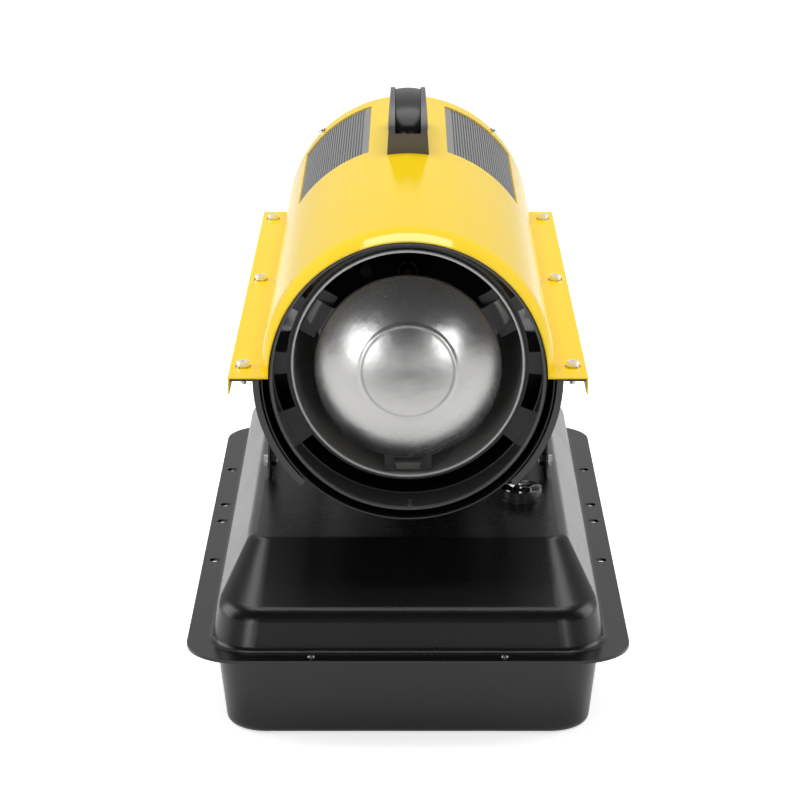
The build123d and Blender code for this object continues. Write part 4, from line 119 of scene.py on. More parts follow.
world = bpy.data.worlds.new("studio_world")
bpy.context.scene.world = world
world.use_nodes = True
sky = world.node_tree
sky.nodes.clear()
looked_at, in_mirror = sight(sky)
heading = sky.nodes.new("ShaderNodeTexCoord")
compass = sky.nodes.new("ShaderNodeSeparateXYZ")
sky.links.new(heading.outputs["Generated"], compass.inputs[0])
wall = eased(sky, compass.outputs["Y"], *WALL_REACH, ROOM_IN_FRONT, WALL_BEHIND)
ceiling = eased(sky, compass.outputs["Z"], *CEILING_REACH, 1.0, CEILING_SHARE)
mirrored = background(sky, maths(sky, "MULTIPLY", wall, ceiling))
unseen = shader_mix(sky, in_mirror, background(sky, GATHERED_LIGHT), mirrored)
end = sky.nodes.new("ShaderNodeOutputWorld")
sky.links.new(shader_mix(sky, looked_at, unseen, background(sky, 1.0)), end.inputs["Surface"])

# The floor is a wide white sheet. It glows a little where it is looked at, so that it
# stays white and still holds the soft shadow under the tank. Polished steel also
# mirrors a painted shadow: a dim spot before the heater, which only reflections show.
FLOOR_R = 6.0
FLOOR_DROP = 0.0006
FLOOR_WHITE = (0.9, 0.9, 0.9, 1)
SEEN_GLOW = (0.66, 1.0)
SEEN_REACH = (0.7, 2.4)
MIRRORED_GLOW = 0.32
MIRRORED_SHADOW_SPOT = (0.0, -1.2, 0.0)
MIRRORED_SHADOW_REACH = (0.0, 0.75)
MIRRORED_SHADOW_SHARE = 0.95


def distance(tree, where, spot):
    """How far a place is from a fixed spot."""
    node = tree.nodes.new("ShaderNodeVectorMath")
    node.operation = "DISTANCE"
    node.inputs[1].default_value = spot
    tree.links.new(where, node.inputs[0])
    return node.outputs["Value"]


bpy.ops.mesh.primitive_circle_add(vertices=96, radius=FLOOR_R, fill_type="NGON")
floor = bpy.context.object
floor.name = "studio_floor"
floor.location.z = -FLOOR_DROP
bpy.ops.object.transform_apply(location=True)
floor_paint = bpy.data.materials.new("studio_floor")
floor_paint.use_nodes = True
sheet = floor_paint.node_tree
sheet.nodes.clear()
looked_at, in_mirror = sight(sheet)
where = sheet.nodes.new("ShaderNodeTexCoord").outputs["Object"]
seen = eased(sheet, distance(sheet, where, (0, 0, 0)), *SEEN_REACH, *SEEN_GLOW)
shine = maths(sheet, "MULTIPLY", looked_at, seen)
shine = maths(sheet, "MULTIPLY_ADD", in_mirror, MIRRORED_GLOW, shine)
# Painted shadow: near the spot, reflections of the floor fade to the dim room.
painted_shadow = eased(sheet, distance(sheet, where, MIRRORED_SHADOW_SPOT), *MIRRORED_SHADOW_REACH, MIRRORED_SHADOW_SHARE, 0.0)
painted_shadow = maths(sheet, "MULTIPLY", painted_shadow, in_mirror)
matte = sheet.nodes.new("ShaderNodeBsdfDiffuse")
matte.inputs["Color"].default_value = FLOOR_WHITE
glow = sheet.nodes.new("ShaderNodeEmission")
glow.inputs["Color"].default_value = (1, 1, 1, 1)
sheet.links.new(shine, glow.inputs["Strength"])
both = sheet.nodes.new("ShaderNodeAddShader")
sheet.links.new(matte.outputs[0], both.inputs[0])
sheet.links.new(glow.outputs[0], both.inputs[1])
nothing = sheet.nodes.new("ShaderNodeBsdfTransparent")
shaded = shader_mix(sheet, painted_shadow, both.outputs[0], nothing.outputs[0])
end = sheet.nodes.new("ShaderNodeOutputMaterial")
sheet.links.new(shaded, end.inputs["Surface"])
floor.data.materials.append(floor_paint)

# Soft boxes: a wide one overhead that lies as a pale oval on the barrel's lip, one each
# side of the camera that shows in the steel, and a tall one at each side.
SOFT_BOXES = (
    ("overhead", (0.0, 0.55, 2.0), (0.0, 0.5, 0.3), 1.5, 2.2, 30.0),
    ("left_key", (-0.95, -2.1, 0.32), (0.0, -0.2, 0.26), 0.6, 0.5, 6.0),
    ("right_key", (0.8, -2.1, 0.34), (0.0, -0.2, 0.26), 0.4, 0.5, 3.0),
    ("left_side", (-1.5, 0.0, 0.75), (0.0, 0.0, 0.25), 1.0, 1.2, 11.0),
    ("right_side", (1.5, 0.0, 0.75), (0.0, 0.0, 0.25), 1.0, 1.2, 10.0),
    ("front_fill", (0.0, -2.9, 1.3), (0.0, 0.0, 0.2), 1.8, 1.0, 7.0),
)
UNMIRRORED_BOXES = ("front_fill",)
for name, place, target, width, height, power in SOFT_BOXES:
    bpy.ops.object.light_add(type="AREA", location=place)
    lamp = bpy.context.object
    lamp.name = f"soft_box_{name}"
    lamp.data.shape = "RECTANGLE"
    lamp.data.size = width
    lamp.data.size_y = height
    lamp.data.energy = power
    lamp.visible_glossy = name not in UNMIRRORED_BOXES
    lamp.rotation_euler = (Vector(target) - Vector(place)).to_track_quat("-Z", "Y").to_euler()

# Fuel tank: two deep-drawn steel pans, folded over each other at the rim, riveted and
# powder coated black. The control box on its deck has the same coat.
COAT_CLOUD_SCALE = 9.0
COAT_BUMP = 0.35
BUMP_DISTANCE = 0.001


def made_group(name, inputs, outputs):
    """A node group with named sockets, its inputs and its outputs."""
    group = bpy.data.node_groups.new(name, "ShaderNodeTree")
    for socket, value in inputs.items():
        kind = "NodeSocketColor" if isinstance(value, tuple) else "NodeSocketFloat"
        made = group.interface.new_socket(name=socket, in_out="INPUT", socket_type=kind)
        made.default_value = value
    for socket in outputs:
        kind = "NodeSocketColor" if socket == "Colour" else "NodeSocketFloat"
        group.interface.new_socket(name=socket, in_out="OUTPUT", socket_type=kind)
    given = group.nodes.new("NodeGroupInput").outputs
    return group, given, group.nodes.new("NodeGroupOutput").inputs


def noise(tree, vector, scale, detail=3.0, rough=0.5):
    """Noise about zero, on a vector, at a fixed scale or one that a socket gives."""
    made = tree.nodes.new("ShaderNodeTexNoise")
    made.inputs["Detail"].default_value = detail
    made.inputs["Roughness"].default_value = rough
    tree.links.new(vector, made.inputs["Vector"])
    if isinstance(scale, float):
        made.inputs["Scale"].default_value = scale
    else:
        tree.links.new(scale, made.inputs["Scale"])
    return maths(tree, "SUBTRACT", made.outputs["Fac"], 0.5)


def scaled_colour(tree, colour, factor):
    """A colour socket made lighter or darker by a value."""
    made = tree.nodes.new("ShaderNodeVectorMath")
    made.operation = "SCALE"
    tree.links.new(colour, made.inputs[0])
    tree.links.new(factor, made.inputs["Scale"])
    return made.outputs[0]


def coat_group():
    """Fine bumps, smudges and shade drift of a coated, moulded or cast surface."""
    group, given, out = made_group(
        "coat_surface",
        {
            "Colour": (0.5, 0.5, 0.5, 1.0),
            "Grain Scale": 900.0,
            "Grain Depth": 0.05,
            "Base Roughness": 0.35,
            "Smudge": 0.08,
            "Shade Drift": 0.06,
        },
        ("Colour", "Roughness", "Height"),
    )
    where = group.nodes.new("ShaderNodeTexCoord").outputs["Object"]
    grain = noise(group, where, given["Grain Scale"])
    cloud = noise(group, where, COAT_CLOUD_SCALE, detail=5.0, rough=0.6)
    group.links.new(maths(group, "MULTIPLY", grain, given["Grain Depth"]), out["Height"])
    rough = maths(group, "MULTIPLY_ADD", cloud, given["Smudge"], given["Base Roughness"])
    group.links.new(rough, out["Roughness"])
    drift = maths(group, "MULTIPLY_ADD", cloud, given["Shade Drift"], 1.0)
    group.links.new(scaled_colour(group, given["Colour"], drift), out["Colour"])
    return group


COAT_SURFACE = coat_group()


def grouped_finish(name, group, values, bump_strength, sockets):
    """A material whose colour, roughness and bump come from a surface group."""
    finish = bpy.data.materials.new(name)
    finish.use_nodes = True
    tree = finish.node_tree
    shader = tree.nodes["Principled BSDF"]
    surface = tree.nodes.new("ShaderNodeGroup")
    surface.node_tree = group
    for socket, value in values.items():
        surface.inputs[socket].default_value = value
    tree.links.new(surface.outputs["Colour"], shader.inputs["Base Color"])
    tree.links.new(surface.outputs["Roughness"], shader.inputs["Roughness"])
    bump = tree.nodes.new("ShaderNodeBump")
    bump.inputs["Strength"].default_value = bump_strength
    bump.inputs["Distance"].default_value = BUMP_DISTANCE
    tree.links.new(surface.outputs["Height"], bump.inputs["Height"])
    tree.links.new(bump.outputs["Normal"], shader.inputs["Normal"])
    for socket, value in sockets.items():
        shader.inputs[socket.replace("_", " ")].default_value = value
    return finish


def coated(name, colour, roughness, grain=900.0, depth=0.05, smudge=0.08, drift=0.06, **sockets):
    """A painted, moulded, plated or cast finish; further sockets go on the shader."""
    values = {
        "Colour": (*colour, 1.0),
        "Grain Scale": grain,
        "Grain Depth": depth,
        "Base Roughness": roughness,
        "Smudge": smudge,
        "Shade Drift": drift,
    }
    return grouped_finish(name, COAT_SURFACE, values, COAT_BUMP, sockets)


def finish_nodes(finish, *names):
    """Give CAD nodes a finished material in every slot."""
    for name in names:
        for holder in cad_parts[name].material_slots:
            holder.material = finish


tank_enamel = coated("tank_enamel", (0.0035, 0.0034, 0.0036), 0.27, grain=1400.0, depth=0.04)
finish_nodes(tank_enamel, "tank_lower_half", "tank_upper_half", "control_box")

# Rivets, drain plug and seals: soft alloy rivets through the folded rim and the outlet
# ring's seam, a zinc-plated hexagon plug, and rubber rings squeezed under plug and cap.
rivet_metal = coated("rivet_metal", (0.30, 0.30, 0.31), 0.36, smudge=0.16, Metallic=1.0)
finish_nodes(rivet_metal, "rivets")
zinc_plate = coated(
    "zinc_plate", (0.66, 0.67, 0.68), 0.2, grain=1800.0, smudge=0.22, drift=0.12, Metallic=1.0
)
finish_nodes(zinc_plate, "drain_plug")
seal_rubber = coated("seal_rubber", (0.018, 0.018, 0.019), 0.55, grain=2200.0, depth=0.08)
finish_nodes(seal_rubber, "tank_seals", "shell_grommets")

# Filler: a pressed neck with a moulded strainer basket hung in it, an inner plug, and a
# moulded screw cap with a slightly domed crown and a skirt fluted for grip.
POLE_R = 0.00001    # a pole is first a circle this small, and its points are then merged


def alone(piece):
    """Make one piece the selected and active one."""
    bpy.ops.object.select_all(action="DESELECT")
    piece.select_set(True)
    bpy.context.view_layer.objects.active = piece


def placed(piece, centre, turn=(0, 0, 0)):
    """Turn a piece and put it in place, and keep both in its mesh."""
    piece.rotation_euler = turn
    piece.location = centre
    alone(piece)
    bpy.ops.object.transform_apply(location=True, rotation=True, scale=True)
    return piece


def turned_piece(name, outline, centre=(0, 0, 0), turn=(0, 0, 0), segments=72, smooth=38):
    """A turned piece: a circle extruded ring by ring along (radius, height) points."""
    bpy.ops.object.select_all(action="DESELECT")
    last_radius = max(outline[0][0], POLE_R)
    bpy.ops.mesh.primitive_circle_add(vertices=segments, radius=last_radius, location=(0, 0, 0))
    piece = bpy.context.object
    piece.name = name
    bpy.ops.object.mode_set(mode="EDIT")
    bpy.ops.transform.translate(value=(0, 0, outline[0][1]))
    last_height = outline[0][1]
    for radius, height in outline[1:]:
        radius = max(radius, POLE_R)
        factor = radius / last_radius
        step = (0, 0, height - last_height)
        bpy.ops.mesh.extrude_edges_move(TRANSFORM_OT_translate={"value": step})
        bpy.ops.transform.resize(value=(factor, factor, 1), center_override=(0, 0, 0))
        last_radius, last_height = radius, height
    bpy.ops.mesh.select_all(action="SELECT")
    bpy.ops.mesh.remove_doubles(threshold=4 * POLE_R)
    bpy.ops.mesh.normals_make_consistent(inside=False)
    bpy.ops.object.mode_set(mode="OBJECT")
    placed(piece, centre, turn)
    bpy.ops.object.shade_smooth_by_angle(angle=math.radians(smooth))
    return piece


def picked(piece, chosen):
    """Open a piece in edit mode with only its chosen points selected."""
    alone(piece)
    bpy.ops.object.mode_set(mode="EDIT")
    bpy.ops.mesh.select_mode(type="VERT")
    bpy.ops.mesh.select_all(action="DESELECT")
    bpy.ops.object.mode_set(mode="OBJECT")
    for vertex in piece.data.vertices:
        vertex.select = chosen(vertex.co)
    bpy.ops.object.mode_set(mode="EDIT")


def resized(piece, chosen, factors, centre):
    """Scale the chosen points of a piece about a centre."""
    picked(piece, chosen)
    bpy.ops.transform.resize(value=factors, center_override=centre)
    bpy.ops.object.mode_set(mode="OBJECT")


def fitted(piece, finish, body, slot, *stands_for):
    """Give a new piece its finish, its body and the CAD nodes it replaces; the slot is not used.
    """
    piece.data.materials.clear()
    piece.data.materials.append(finish)
    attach(piece, body)
    if stands_for:
        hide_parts(*stands_for)
    return piece


strainer_plastic = coated("strainer_plastic", (0.62, 0.60, 0.52), 0.5)
finish_nodes(strainer_plastic, "filler_strainer")
finish_nodes(zinc_plate, "filler_neck")
cap_plastic = coated("cap_plastic", (0.021, 0.021, 0.022), 0.42, grain=2600.0, depth=0.07)
finish_nodes(cap_plastic, "filler_plug")

cap_low, cap_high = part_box("filler_cap")
cap_middle = (cap_low + cap_high) / 2
CAP_R = (cap_high.x - cap_low.x) / 2
CAP_HEIGHT = cap_high.z - cap_low.z
CAP_WALL = 0.0026
CAP_ROOF = 0.0028
CAP_LAND = 0.001
CAP_LAND_R = 0.0066
CAP_FLUTES = 28
FLUTE_DEPTH = 0.0007
FLUTE_START = 0.0008
FLUTE_END = 0.0030
SKIRT_MARGIN = 0.0005
skirt_r = CAP_R - FLUTE_DEPTH
roof_under = CAP_HEIGHT - CAP_ROOF
cap = turned_piece(
    "filler_screw_cap",
    (
        (0, CAP_HEIGHT),
        (0.55 * CAP_R, CAP_HEIGHT - 0.0002),
        (0.8 * CAP_R, CAP_HEIGHT - 0.0007),
        (skirt_r - 0.0010, CAP_HEIGHT - 0.0016),
        (skirt_r - 0.0002, CAP_HEIGHT - 0.0026),
        (skirt_r, CAP_HEIGHT - 0.0038),
        (skirt_r, 0.0012),
        (skirt_r - 0.0003, 0.0),
        (skirt_r - CAP_WALL, 0.0),
        (skirt_r - CAP_WALL, roof_under - CAP_LAND),
        (CAP_LAND_R, roof_under - CAP_LAND),
        (CAP_LAND_R, roof_under),
        (0, roof_under),
    ),
    (cap_middle.x, cap_middle.y, cap_low.z),
    segments=112,
)


def on_cap_flute(place):
    """Whether a point of the skirt lies on the crest of a flute."""
    across, along = place.x - cap_middle.x, place.y - cap_middle.y
    on_skirt = math.hypot(across, along) > skirt_r - SKIRT_MARGIN
    between = FLUTE_START < place.z - cap_low.z < CAP_HEIGHT - FLUTE_END
    return on_skirt and between and math.cos(CAP_FLUTES * math.atan2(along, across)) > 0


flute_factor = CAP_R / skirt_r
resized(cap, on_cap_flute, (flute_factor, flute_factor, 1), cap_middle)
fitted(cap, cap_plastic, "fuel_cap", "cap_plastic", "filler_cap")

# Fuel gauge: a black bezel under a clear domed lens. A red pointer turns over a printed
# dial as the float rises on its two rods and twists the strip.
gauge_low, gauge_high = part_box("gauge_lens")
GAUGE_MIDDLE = (gauge_low + gauge_high) / 2
gauge_black = coated("gauge_black", (0.02, 0.02, 0.021), 0.3)
finish_nodes(gauge_black, "gauge_body")
float_plastic = coated("float_plastic", (0.72, 0.69, 0.58), 0.5)
finish_nodes(float_plastic, "gauge_float")
guide_plastic = coated("guide_plastic", (0.03, 0.03, 0.032), 0.45)
finish_nodes(guide_plastic, "gauge_guide")
pointer_red = coated("pointer_red", (0.62, 0.022, 0.015), 0.3)
finish_nodes(pointer_red, "gauge_spindle")
clear_lens = coated(
    "clear_lens", (0.96, 0.98, 0.96), 0.015, grain=60.0, depth=0.01, smudge=0.01, drift=0.01,
    Transmission_Weight=1.0, IOR=1.49,
)
finish_nodes(clear_lens, "gauge_lens")

DIAL_R = 0.0134
DIAL_HOLE_R = 0.0016
DIAL_SHEET = 0.0006
DIAL_DROP = 0.0010
DIAL_START = math.radians(-135)
DIAL_SWEEP = math.radians(270)
BAND_INNER_R = 0.0088
BAND_OUTER_R = 0.0122
BAND_STOPS = ((0.0, (0.55, 0.02, 0.012)), (0.25, (0.75, 0.3, 0.01)), (0.5, (0.02, 0.32, 0.06)))
TICK_COUNT = 9
TICK_R = 0.0078
TICK_SIZE = (0.0004, 0.0016, 0.0002)


def hypotenuse(tree, across, along):
    """The distance that two distances at right angles make."""
    squares = [maths(tree, "POWER", side, 2.0) for side in (across, along)]
    return maths(tree, "SQRT", maths(tree, "ADD", *squares))


def dial_print():
    """The dial: white, with a band that runs from red through amber to green."""
    finish = coated("gauge_dial", (0.8, 0.8, 0.78), 0.35)
    tree = finish.node_tree
    shader = tree.nodes["Principled BSDF"]
    where = tree.nodes.new("ShaderNodeTexCoord")
    centred = tree.nodes.new("ShaderNodeMapping")
    centred.inputs["Location"].default_value = (-GAUGE_MIDDLE.x, -GAUGE_MIDDLE.y, 0)
    tree.links.new(where.outputs["Object"], centred.inputs["Vector"])
    plan = tree.nodes.new("ShaderNodeSeparateXYZ")
    tree.links.new(centred.outputs[0], plan.inputs[0])
    bearing = maths(tree, "ARCTAN2", plan.outputs["X"], plan.outputs["Y"])
    share = maths(tree, "MULTIPLY_ADD", bearing, 1 / DIAL_SWEEP, 0.5)
    band = tree.nodes.new("ShaderNodeValToRGB")
    band.color_ramp.interpolation = "CONSTANT"
    band.color_ramp.elements.new(0.5)
    for stop, (place, colour) in zip(band.color_ramp.elements, BAND_STOPS):
        stop.position = place
        stop.color = (*colour, 1)
    tree.links.new(share, band.inputs["Fac"])
    reach = hypotenuse(tree, plan.outputs["X"], plan.outputs["Y"])
    outside = maths(tree, "GREATER_THAN", reach, BAND_INNER_R)
    inside = maths(tree, "LESS_THAN", reach, BAND_OUTER_R)
    choose = tree.nodes.new("ShaderNodeMix")
    choose.data_type = "RGBA"
    surface = next(node for node in tree.nodes if node.type == "GROUP")
    tree.links.new(maths(tree, "MULTIPLY", outside, inside), choose.inputs["Factor"])
    tree.links.new(surface.outputs["Colour"], choose.inputs["A"])
    tree.links.new(band.outputs["Color"], choose.inputs["B"])
    tree.links.new(choose.outputs["Result"], shader.inputs["Base Color"])
    return finish


def block(name, size):
    """A small block about the origin."""
    bpy.ops.object.select_all(action="DESELECT")
    bpy.ops.mesh.primitive_cube_add(size=1, location=(0, 0, 0))
    piece = bpy.context.object
    piece.name = name
    piece.scale = size
    bpy.ops.object.transform_apply(scale=True)
    return piece


def copied(piece, move):
    """A copy of a piece with its own mesh, moved by a matrix."""
    twin = piece.copy()
    twin.data = piece.data.copy()
    bpy.context.collection.objects.link(twin)
    twin.data.transform(move)
    return twin


def joined(name, pieces):
    """Several parts of one piece as one mesh."""
    bpy.ops.object.select_all(action="DESELECT")
    for part in pieces:
        part.select_set(True)
    bpy.context.view_layer.objects.active = pieces[0]
    bpy.ops.object.join()
    pieces[0].name = name
    return pieces[0]


dial_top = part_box("gauge_spindle")[1].z - DIAL_DROP
dial = turned_piece(
    "gauge_dial",
    (
        (DIAL_HOLE_R, dial_top),
        (DIAL_R, dial_top),
        (DIAL_R, dial_top - DIAL_SHEET),
        (DIAL_HOLE_R, dial_top - DIAL_SHEET),
        (DIAL_HOLE_R, dial_top),
    ),
    (GAUGE_MIDDLE.x, GAUGE_MIDDLE.y, 0),
    segments=96,
)
fitted(dial, dial_print(), "root", "gauge_black")
tick = block("tick", TICK_SIZE)
ticks = []
for number in range(TICK_COUNT):
    bearing = DIAL_START + DIAL_SWEEP * number / (TICK_COUNT - 1)
    place = (
        GAUGE_MIDDLE.x + TICK_R * math.sin(bearing),
        GAUGE_MIDDLE.y + TICK_R * math.cos(bearing),
        dial_top + TICK_SIZE[2] / 4,
    )
    ticks.append(copied(tick, Matrix.Translation(place) @ Matrix.Rotation(-bearing, 4, "Z")))
bpy.data.objects.remove(tick)
fitted(joined("gauge_ticks", ticks), gauge_black, "root", "gauge_black")

# Side supports: grey coated sheet, bent into a saddle under each wing with two legs
# that are screwed to lugs on the tank. The motor hangs in two bands of the same sheet.
support_grey = coated("support_grey", (0.045, 0.046, 0.049), 0.36, grain=1400.0)
finish_nodes(support_grey, "side_support_left", "side_support_right", "motor_mount")

# Screws, toothed washers and nuts: steel, plated with zinc. The hexagon heads are
# milky and the washers and pan heads bright. The nuts under the wings are given a dark
# colour, a painted shade for the shadow they sit in.
milky_zinc = coated(
    "milky_zinc", (0.9, 0.9, 0.91), 0.26, grain=1800.0, smudge=0.22, drift=0.1, Metallic=0.5,
    Specular_IOR_Level=0.8,
)
finish_nodes(milky_zinc, "screws")
finish_nodes(zinc_plate, "lock_washers", "pan_screws")
# Painted shade: the nuts get a dark colour for the shadow under the wings.
painted_shade_zinc = coated("painted_shade_zinc", (0.2, 0.2, 0.2), 0.34, smudge=0.2, Metallic=1.0)
finish_nodes(painted_shade_zinc, "nuts")

# Barrel: two rolled sheet-steel halves, the upper one in glossy yellow enamel and the
# lower one in black, with slotted black intake grilles let into the upper one.
COAT_FACING = (0.4, 0.72)
shell_yellow = coated(
    "shell_yellow", (0.95, 0.655, 0.0015), 0.13, grain=500.0, depth=0.02, smudge=0.05, drift=0.03,
    Specular_IOR_Level=0.09, Coat_Roughness=0.1,
)
enamel = shell_yellow.node_tree
facing = enamel.nodes.new("ShaderNodeLayerWeight").outputs["Facing"]
clear_coat = eased(enamel, facing, *COAT_FACING, 1.0, 0.0)
enamel.links.new(clear_coat, enamel.nodes["Principled BSDF"].inputs["Coat Weight"])
finish_nodes(shell_yellow, "upper_shell")
shell_black = coated("shell_black", (0.016, 0.016, 0.017), 0.25, grain=1200.0)
finish_nodes(shell_black, "lower_shell")
# The grilles' black paint is given a grey colour: a painted sheen for the light it catches at a
# grazing angle.
vent_black = coated("vent_black", (0.22, 0.22, 0.225), 0.33, grain=1600.0)
finish_nodes(vent_black, "vent_grille_left", "vent_grille_right")

# Dust screens: fine black wire cloth, spot welded behind each intake grille, which
# keeps fluff out of the fan. Straight wires run along the barrel and hoops round it.
CLOTH_PITCH = 0.001
CLOTH_WIRE_R = 0.00038
CLOTH_GAP = 0.0026
CLOTH_EDGES = (math.radians(18.5), math.radians(56))
ring_low, ring_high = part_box("outlet_ring")
AXIS_Z = (ring_low.z + ring_high.z) / 2
cloth_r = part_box("upper_shell")[1].z - AXIS_Z - CLOTH_GAP
vent_low, vent_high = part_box("vent_grille_right")
cloth_front, cloth_rear = vent_low.y + CLOTH_PITCH, vent_high.y - CLOTH_PITCH
bpy.ops.object.select_all(action="DESELECT")
bpy.ops.mesh.primitive_torus_add(
    major_radius=cloth_r, minor_radius=CLOTH_WIRE_R, major_segments=90, minor_segments=4
)
hoop = placed(bpy.context.object, (0, cloth_front, AXIS_Z), (math.pi / 2, 0, 0))
bpy.ops.object.mode_set(mode="EDIT")
for bearing, side in zip(CLOTH_EDGES, (1, -1)):
    bpy.ops.mesh.select_all(action="SELECT")
    bpy.ops.mesh.bisect(
        plane_co=(0, cloth_front, AXIS_Z),
        plane_no=(side * math.cos(bearing), 0, -side * math.sin(bearing)),
        clear_inner=True,
        use_fill=True,
    )
bpy.ops.object.mode_set(mode="OBJECT")
cloth = []
for number in range(int((cloth_rear - cloth_front) / CLOTH_PITCH) + 1):
    cloth.append(copied(hoop, Matrix.Translation((0, number * CLOTH_PITCH, 0))))
bpy.data.objects.remove(hoop)
bpy.ops.object.select_all(action="DESELECT")
bpy.ops.mesh.primitive_cylinder_add(
    vertices=4, radius=CLOTH_WIRE_R, depth=cloth_rear - cloth_front
)
wire = placed(bpy.context.object, (0, 0, 0), (math.pi / 2, 0, 0))
axis_point = Matrix.Translation((0, (cloth_front + cloth_rear) / 2, AXIS_Z))
cloth_wires = int((CLOTH_EDGES[1] - CLOTH_EDGES[0]) * cloth_r / CLOTH_PITCH)
for number in range(cloth_wires + 1):
    bearing = CLOTH_EDGES[0] + number * CLOTH_PITCH / cloth_r
    about = axis_point @ Matrix.Rotation(bearing, 4, "Y") @ Matrix.Translation((0, 0, cloth_r))
    cloth.append(copied(wire, about))
bpy.data.objects.remove(wire)
cloth = joined("dust_screen_right", cloth)
# The cloth takes the grilles' grey colour with its painted sheen.
fitted(cloth, vent_black, "root", "vent_black")
twin = copied(cloth, Matrix.Scale(-1, 4, (1, 0, 0)))
twin.name = "dust_screen_left"
alone(twin)
bpy.ops.object.mode_set(mode="EDIT")
bpy.ops.mesh.select_all(action="SELECT")
bpy.ops.mesh.normals_make_consistent(inside=False)
bpy.ops.object.mode_set(mode="OBJECT")
fitted(twin, vent_black, "root", "vent_black")

# Handle: one black moulding, screwed on from inside the shell. A smooth crowned strip
# is pressed into the groove that runs over it between two rails, and comes up nearly
# level with them at the crest.
handle_plastic = coated("handle_plastic", (0.078, 0.079, 0.082), 0.38, grain=2600.0, depth=0.05)
finish_nodes(handle_plastic, "handle")
handle_low, handle_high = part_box("handle")
shell_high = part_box("upper_shell")[1]
HANDLE_MIDDLE_Y = (handle_low.y + handle_high.y) / 2
ARCH_HALF = (handle_high.y - handle_low.y) / 2
ARCH_FOOT_RISE = 0.0153
ARCH_FOOT_Z = shell_high.z + ARCH_FOOT_RISE
GROOVE_DEPTH = 0.005
STRIP_WIDTH = 0.0203
STRIP_CROWN = 0.0034
STRIP_SHEET = 0.0012
STRIP_RINGS = 12
STRIP_CUT_SHARE = 0.0004
CREST_DROP = 0.0014
CREST_CROWN_SHARE = 0.3


def modified(piece, kind, **settings):
    """Add one modifier to a piece and apply it."""
    alone(piece)
    modifier = piece.modifiers.new(kind.lower(), kind)
    for setting, value in settings.items():
        setattr(modifier, setting, value)
    bpy.ops.object.modifier_apply(modifier=modifier.name)
    return piece


arch_rise = handle_high.z - ARCH_FOOT_Z
bpy.ops.object.select_all(action="DESELECT")
bpy.ops.mesh.primitive_cylinder_add(
    vertices=128, radius=1, depth=STRIP_WIDTH, end_fill_type="NOTHING"
)
strip = placed(bpy.context.object, (0, 0, 0), (0, math.pi / 2, 0))
strip.name = "handle_strip"
bpy.ops.object.mode_set(mode="EDIT")
for ring in range(1, STRIP_RINGS):
    bpy.ops.mesh.select_all(action="SELECT")
    cut = STRIP_WIDTH * (ring / STRIP_RINGS - 0.5)
    bpy.ops.mesh.bisect(plane_co=(cut, 0, 0), plane_no=(1, 0, 0))
bpy.ops.mesh.select_all(action="SELECT")
bpy.ops.mesh.bisect(plane_co=(0, 0, STRIP_CUT_SHARE), plane_no=(0, 0, 1), clear_inner=True)
bpy.ops.object.mode_set(mode="OBJECT")
for ring in range(STRIP_RINGS + 1):
    ring_x = STRIP_WIDTH * (ring / STRIP_RINGS - 0.5)
    crown = STRIP_CROWN * (1 - (2 * ring_x / STRIP_WIDTH) ** 2)
    long_half = ARCH_HALF - GROOVE_DEPTH + STRIP_SHEET + crown
    rise = arch_rise - CREST_DROP + crown * CREST_CROWN_SHARE
    resized(
        strip,
        lambda place: abs(place.x - ring_x) < STRIP_SHEET / 10,
        (1, long_half, rise),
        (0, 0, 0),
    )
modified(strip, "SOLIDIFY", thickness=STRIP_SHEET, offset=-1.0)
placed(strip, (0, HANDLE_MIDDLE_Y, ARCH_FOOT_Z))
bpy.ops.object.shade_smooth_by_angle(angle=math.radians(35))
strip_gloss = coated(
    "strip_gloss", (0.004, 0.004, 0.0045), 0.26, depth=0.02, Specular_IOR_Level=0.3
)
fitted(strip, strip_gloss, "root", "handle_plastic")

# Outlet: a black enamelled ring, pressed with windows for the cooling air, riveted at
# its seam and set round the chamber, a tube rolled from bare steel with a curled rim.
# The burner head at the chamber's far end is black with soot.
STEEL_CLOUD_SCALE = 14.0
STEEL_BUMP = 0.25
STROKE_STRETCH = 0.0015
STROKE_ROUGHNESS = 0.06
ring_black = coated("ring_black", (0.060, 0.060, 0.062), 0.22, grain=1400.0)
finish_nodes(ring_black, "outlet_ring")
bracket_black = coated("bracket_black", (0.012, 0.012, 0.012), 0.4)
finish_nodes(bracket_black, "dome_brackets")


